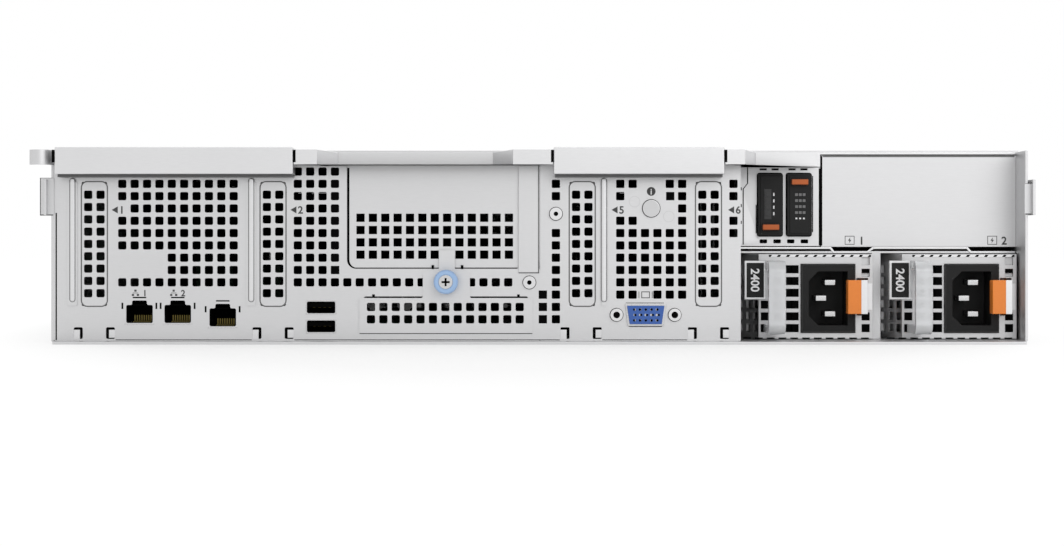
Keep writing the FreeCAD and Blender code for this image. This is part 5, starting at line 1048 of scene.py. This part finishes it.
    def seams(self):
        """Painted shade in the gaps between the walls, bars and frames of the rear, and painted shade under
        each bar.
        """
        gaps, shades = new_meshes(2)
        line, gap, shallow = 0.5, 1.15, 0.1
        body_edge = 2
        for node in ("slot_bar_left", "slot_bar_right"):
            low, high = span(node)
            add_box(shades, (low.x + 0.6, low.y + 4, low.z - 1.2), (high.x - 0.6, WALL - PROUD, low.z - 0.02))
            for left in (low.x - 1.2, high.x + 0.05):
                if left > body_edge:
                    add_mark(gaps, left, high.z - 6.7, gap, 5.5, low.y - LINE_RELIEF, low.y + 0.5)
        low, high = span("boot_frame")
        blank_low, blank_high = span("blank_panel")
        left, right = blank_low.x - 0.1, blank_low.x + 0.6
        rear, front, turn = low.y - 0.06, low.y + 0.4, high.z - 0.4
        add_box(gaps, (high.x - 0.7, rear, blank_low.z + 0.6), (right, front, turn))
        add_box(gaps, (left, rear, turn), (right, front, blank_high.z - 0.2))
        rear, front = low.y - PROUD, low.y + shallow
        for (start, top), (end, base) in zip(self.FRAME_EDGE, self.FRAME_EDGE[1:]):
            add_plate(gaps, [(start, top), (start + line, top), (end + line, base), (end, base)], rear, front)
        first_low = span("boot_module_1")[0]
        last_low, last_high = span("boot_module_2")
        add_box(gaps, (last_high.x + 0.6, rear, last_low.z + 1.5),
                (last_high.x + 1.05, front, last_high.z - 1))
        add_mark(gaps, first_low.x - 1.0, first_low.z + 1, 0.45, 13, rear, front)
        finish_piece("seam_gaps", gaps, "dark_inside", "chassis")
        add_box(shades, (blank_low.x + 0.8, rear, blank_high.z - 0.75),
                (blank_high.x - 0.6, front, blank_high.z - 0.1))
        finish_piece("bar_shades", shades, "line_grey", "chassis")

    def cage_lips(self):
        """The joggled lips of sheet above the two supplies, with the step between them."""
        low = span("boot_frame")[0]
        blank_low, blank_high = span("blank_panel")
        lips = bmesh.new()
        sheet, drop, flat = 0.9, 1.9, 43.0
        top, rear, front = blank_low.z - 0.05, low.y - 0.4, low.y - 0.02
        below = top - drop
        second = span("supply_2_case")[0].x - 3.8
        for start, end in ((low.x + 0.6, second - 2.6), (second, blank_high.x - 0.4)):
            fold = start + flat
            upper = [(start, top - sheet), (start, top), (fold, top), (fold + 1.5, below), (end, below)]
            lower = [(end, below - sheet), (fold + 1.0, below - sheet), (fold - 0.5, top - sheet)]
            add_plate(lips, upper + lower, rear, front)
        add_plate(lips, [(second - 2.7, below - sheet), (second - 2.7, below), (second - 0.2, top),
                         (second + 0.4, top - sheet)], rear, front)
        finish_piece("cage_lips", lips, "bright_sheet", "chassis", 0.12)

    def side_hooks(self):
        """The hooks of the cover's sides that show behind the rear corners, with painted shadow along their
        outer and lower edges.
        """
        hooks, edges = new_meshes(2)
        rim = 0.5
        for left, right, base, top, out in self.HOOKS:
            add_box(hooks, (left, WALL - 0.7, base), (right, WALL - 0.15, top))
            shift = rim * out
            add_box(edges, (left + shift, WALL - 0.12, base - rim), (right + shift, WALL + 0.2, top + 0.2))
        finish_piece("side_hooks", hooks, "zinc_sheet", "chassis", 0.15)
        finish_piece("side_hook_edges", edges, "line_grey", "chassis")

    def spring_strip(self, number, body):
        """The slanted spring fingers along a supply's top over a groove of painted shade, and dashes of
        painted shade along its base.
        """
        low, high = span(f"supply_{number}_case")
        fingers, pitch, dash_pitch, slant = 11, 4.1, 5.3, 0.7
        springs, grooves = new_meshes(2)
        add_box(grooves, (low.x + 13, low.y - 0.06, high.z - 1.35),
                (high.x - 1.0, low.y + 0.2, high.z - 0.35))
        for step in range(fingers):
            left = low.x + 13.8 + step * pitch
            for vert in add_mark(springs, left, high.z - 1.3, 2.7, 0.9, low.y - 0.16, low.y + 0.1):
                if vert.co.z > high.z - 0.8:
                    vert.co.x += slant
            left = low.x + 1.5 + step * dash_pitch
            add_mark(grooves, left, low.z + 0.05, 3.5, 0.55, low.y - PROUD, low.y + 0.1)
        finish_piece(f"supply_{number}_groove", grooves, "dark_inside", body)
        finish_piece(f"supply_{number}_springs", springs, "bright_sheet", body)


class CoverOperator(bpy.types.Operator):
    """Pressed ribs, the release arrow and the lever's grip on the cover"""
    bl_idname = "rack_server.cover"
    bl_label = "Cover Marks"

    def execute(self, context):
        low, high = span("top_cover")
        ribs, marks, signs = new_meshes(3)
        wide, tall, sunk = 7, 0.4, 0.1          # of a pressed rib
        for left in (60, 128, 300, 368):
            for start, end in ((40, 330), (500, 780)):
                add_box(ribs, (left, low.y + start, high.z - sunk), (left + wide, low.y + end, high.z + tall))
        finish_piece("cover_ribs", ribs, "zinc_sheet", "top_cover", 0.35, RIDGE_ANGLE)
        lever_low, lever_high = span("cover_latch")
        middle = middle_of("cover_latch").x
        half, first, pitch, deep = 8, 44, 2.2, 1.1      # of a grip ridge
        for step in range(5):
            behind = lever_low.y + first + step * pitch
            add_box(marks, (middle - half, behind, lever_high.z - PROUD),
                    (middle + half, behind + deep, lever_high.z + 0.3))
        finish_piece("lever_grip", marks, "blue_plastic", "cover_latch", 0.15)
        to_rear = Matrix.Rotation(-math.pi / 2, 4, "Z")
        for step in range(2):
            spot = (middle + 32, lever_low.y + 20 + 9 * step, high.z + PRINT_RELIEF)
            print_arrow(signs, spot, to_rear, 4)
        finish_piece("cover_arrows", signs, "ink", "top_cover")
        return {"FINISHED"}


class SideOperator(bpy.types.Operator):
    """Rivets and screws along both sides"""
    bl_idname = "rack_server.sides"
    bl_label = "Side Fasteners"

    def execute(self, context):
        cover_low, cover_high = span("top_cover")
        rivets, screws = new_meshes(2)
        rivet_radius, rivet_out, rivet_first, rivet_pitch = 2.4, 0.5, 96, 84.0
        screw_radius, screw_out, screw_first, screw_pitch, screw_drop = 2.7, 0.45, 140, 190.0, 8
        for step in range(9):
            behind = rivet_first + step * rivet_pitch
            for start in (-rivet_out, BODY_WIDTH):
                for shift, height in ((0, 18), (30, 60)):
                    spot = (start, behind + shift, height)
                    add_rod(rivets, spot, rivet_radius, rivet_out, axis="x", segments=24)
        for step in range(4):
            behind = screw_first + step * screw_pitch
            for start in (cover_low.x - screw_out, cover_high.x):
                spot = (start, behind, cover_high.z - screw_drop)
                add_rod(screws, spot, screw_radius, screw_out, axis="x", segments=24)
        finish_piece("side_rivets", rivets, "bright_sheet", "chassis", 0.15, ROUND_ANGLE)
        finish_piece("cover_screws", screws, "steel_pin", "top_cover", 0.15, ROUND_ANGLE)
        return {"FINISHED"}


class FrontOperator(bpy.types.Operator):
    """Vents, status lights and lever catches of the drive carriers, and the marks of the ears"""
    bl_idname = "rack_server.front"
    bl_label = "Front Marks"

    def execute(self, context):
        for number in (1, 2, 3, 4):
            self.carrier(number, f"drive_carrier_{number}", f"drive_lever_{number}")
        left, right = span("front_grilles")
        cage_left, cage_right = (corner.x for corner in span("drive_cage"))
        mask, sign, lamps = new_meshes(3)
        rim = 0.5
        # A dark sheet behind each grille paints in the shade of the inside
        for start, end in ((left.x + rim, cage_left - rim), (cage_right + rim, right.x - rim)):
            add_box(mask, (start, left.y - 1.2, left.z + rim), (end, left.y - 0.4, right.z - rim))
        finish_piece("intake_mesh", mask, "dark_inside", "chassis")
        middle, front = middle_of("power_button"), span("power_button")[1].y
        outer, inner = 1.9, 1.5
        add_ring(sign, (middle.x, front - 0.02, middle.z), outer, inner, PROUD, segments=28)
        add_mark(sign, middle.x - 0.2, middle.z + 0.6, 0.4, 1.6, front - 0.02, front + PROUD)
        finish_piece("power_sign", sign, "white_ink", "power_button")
        ear = span("ear_left")[1]
        lowest, pitch, lamp_radius, lamp_deep = 34, 7, 0.9, 0.3
        for step in range(4):
            spot = (ear.x - 4.6, ear.y - 1.2, lowest + step * pitch)
            add_rod(lamps, spot, lamp_radius, lamp_deep, segments=16)
        finish_piece("ear_lights", lamps, "green_light", "chassis")
        return {"FINISHED"}

    def carrier(self, number, body, lever):
        """One carrier's vents, dark marks of painted shade, its lights, and the ridges of its lever's catch.
        """
        low, high = span(body)
        lever_high = span(lever)[1]
        middle, front = (low.x + high.x) / 2, high.y
        pitch, rise, vent_wide, vent_tall = 2.9, 2.1, 2.0, 1.1
        catch_half, catch_rise, light_apart, light_radius = 4, 1.7, 3, 0.7
        vents, lights, catch = new_meshes(3)
        # The vents are flat marks of painted shade
        for row in range(4):
            for column in range(4):
                left, base = middle - 5.6 + column * pitch, high.z - 9.6 + row * rise
                add_mark(vents, left, base, vent_wide, vent_tall, front - 0.1, front + LINE_RELIEF)
        finish_piece(f"carrier_{number}_vents", vents, "dark_inside", body)
        for step in range(2):
            spot = (middle + (step - 0.5) * light_apart, front - 0.2, low.z + 3.2)
            add_rod(lights, spot, light_radius, 0.35, segments=16)
        finish_piece(f"carrier_{number}_lights", lights, "green_light", body)
        rear, front, ridge = lever_high.y - 0.2, lever_high.y + 0.3, 0.8
        for step in range(4):
            base = lever_high.z - 9 + step * catch_rise
            add_mark(catch, middle - catch_half, base, 2 * catch_half, ridge, rear, front)
        finish_piece(f"lever_{number}_catch", catch, "charcoal_plastic", lever, 0.12)


class InsideOperator(bpy.types.Operator):
    """Chips, capacitors and coils on the board"""
    bl_idname = "rack_server.inside"
    bl_label = "Inside"

    # Each chip's left and rear edge, and its size across, along and up
    CHIPS = ((60, 120, 34, 34, 2.2), (150, 90, 18, 14, 1.2), (232, 110, 14, 20, 1.2), (196, 180, 22, 22, 1.8),
             (60, 200, 12, 16, 1.2), (260, 190, 10, 10, 1.0), (112, 214, 16, 12, 1.2), (30, 250, 14, 14, 1.2))

    def execute(self, context):
        board = span("heat_sinks")[0].z
        chips, cans, coils = new_meshes(3)
        can_radius, can_tall, coil_tall, pitch, row_pitch = 3.1, 7.5, 5, 16, 11
        for left, behind, wide, deep, tall in self.CHIPS:
            add_box(chips, (left, behind, board), (left + wide, behind + deep, board + tall))
        for column in range(12):
            for row in range(2):
                left, behind = column * pitch, row * row_pitch
                add_rod(cans, (70 + left, 278 + behind, board), can_radius, can_tall, axis="z", segments=20)
                add_box(coils, (66 + left, 256 + behind, board), (75 + left, 264 + behind, board + coil_tall))
        finish_piece("board_chips", chips, "black_plastic", "chassis", 0.2)
        finish_piece("board_capacitors", cans, "aluminium", "chassis", 0.4, ROUND_ANGLE)
        finish_piece("board_coils", coils, "charcoal_plastic", "chassis", 0.4)
        return {"FINISHED"}


# ---- the add-on

def colour_setting(name, colour):
    return FloatVectorProperty(name=name, description="Linear colour of the grain in this finish",
                               subtype="COLOR", size=3, min=0, max=1, default=colour)


class RackServerSettings(bpy.types.PropertyGroup):
    edge_width: FloatProperty(name="Edge width", description="Rounding of the edges in millimetres",
                              default=0.15, min=0)
    lens: FloatProperty(name="Lens", description="Focal length in millimetres", default=80.86, min=10)
    camera_distance: FloatProperty(name="Camera distance", default=1.05, unit="LENGTH",
                                   description="From the camera to the rearmost plane")
    fill_light: FloatProperty(name="Fill light", description="Strength of the world's light", default=0.75)
    key_power: FloatProperty(name="Key power", description="Power of the key lamp in watts", default=13)
    top_power: FloatProperty(name="Top power", description="Power of the overhead lamp in watts", default=5)
    orange_dark: colour_setting("Orange levers, dark", (0.78, 0.20, 0.02))
    orange_light: colour_setting("Orange levers, light", (0.9, 0.27, 0.035))
    blue_dark: colour_setting("Blue touch points, dark", (0.025, 0.09, 0.36))
    blue_light: colour_setting("Blue touch points, light", (0.04, 0.13, 0.45))


class RackServerPanel(bpy.types.Panel):
    """Lists the steps that dress the server"""
    bl_idname = "VIEW3D_PT_rack_server"
    bl_label = "Rack Server"
    bl_space_type = "VIEW_3D"
    bl_region_type = "UI"
    bl_category = "Rack Server"

    def draw(self, context):
        for step in STEPS:
            self.layout.operator(step.bl_idname)


STEPS = [StageOperator, FinishOperator, SoftenOperator, ThumbScrewOperator, SocketOperator, DisplayOperator,
         PrintOperator, StartDriveOperator, SupplyOperator, SheetOperator, CoverOperator, SideOperator,
         FrontOperator, InsideOperator]
CLASSES = [RackServerSettings, RackServerPanel] + STEPS


def register():
    for each in CLASSES:
        bpy.utils.register_class(each)
    bpy.types.Scene.rack_server = PointerProperty(type=RackServerSettings)


def unregister():
    del bpy.types.Scene.rack_server
    for each in reversed(CLASSES):
        bpy.utils.unregister_class(each)


def main():
    register()
    for step in STEPS:
        section, name = step.bl_idname.split(".")
        getattr(getattr(bpy.ops, section), name)()


if __name__ == "__main__":
    main()
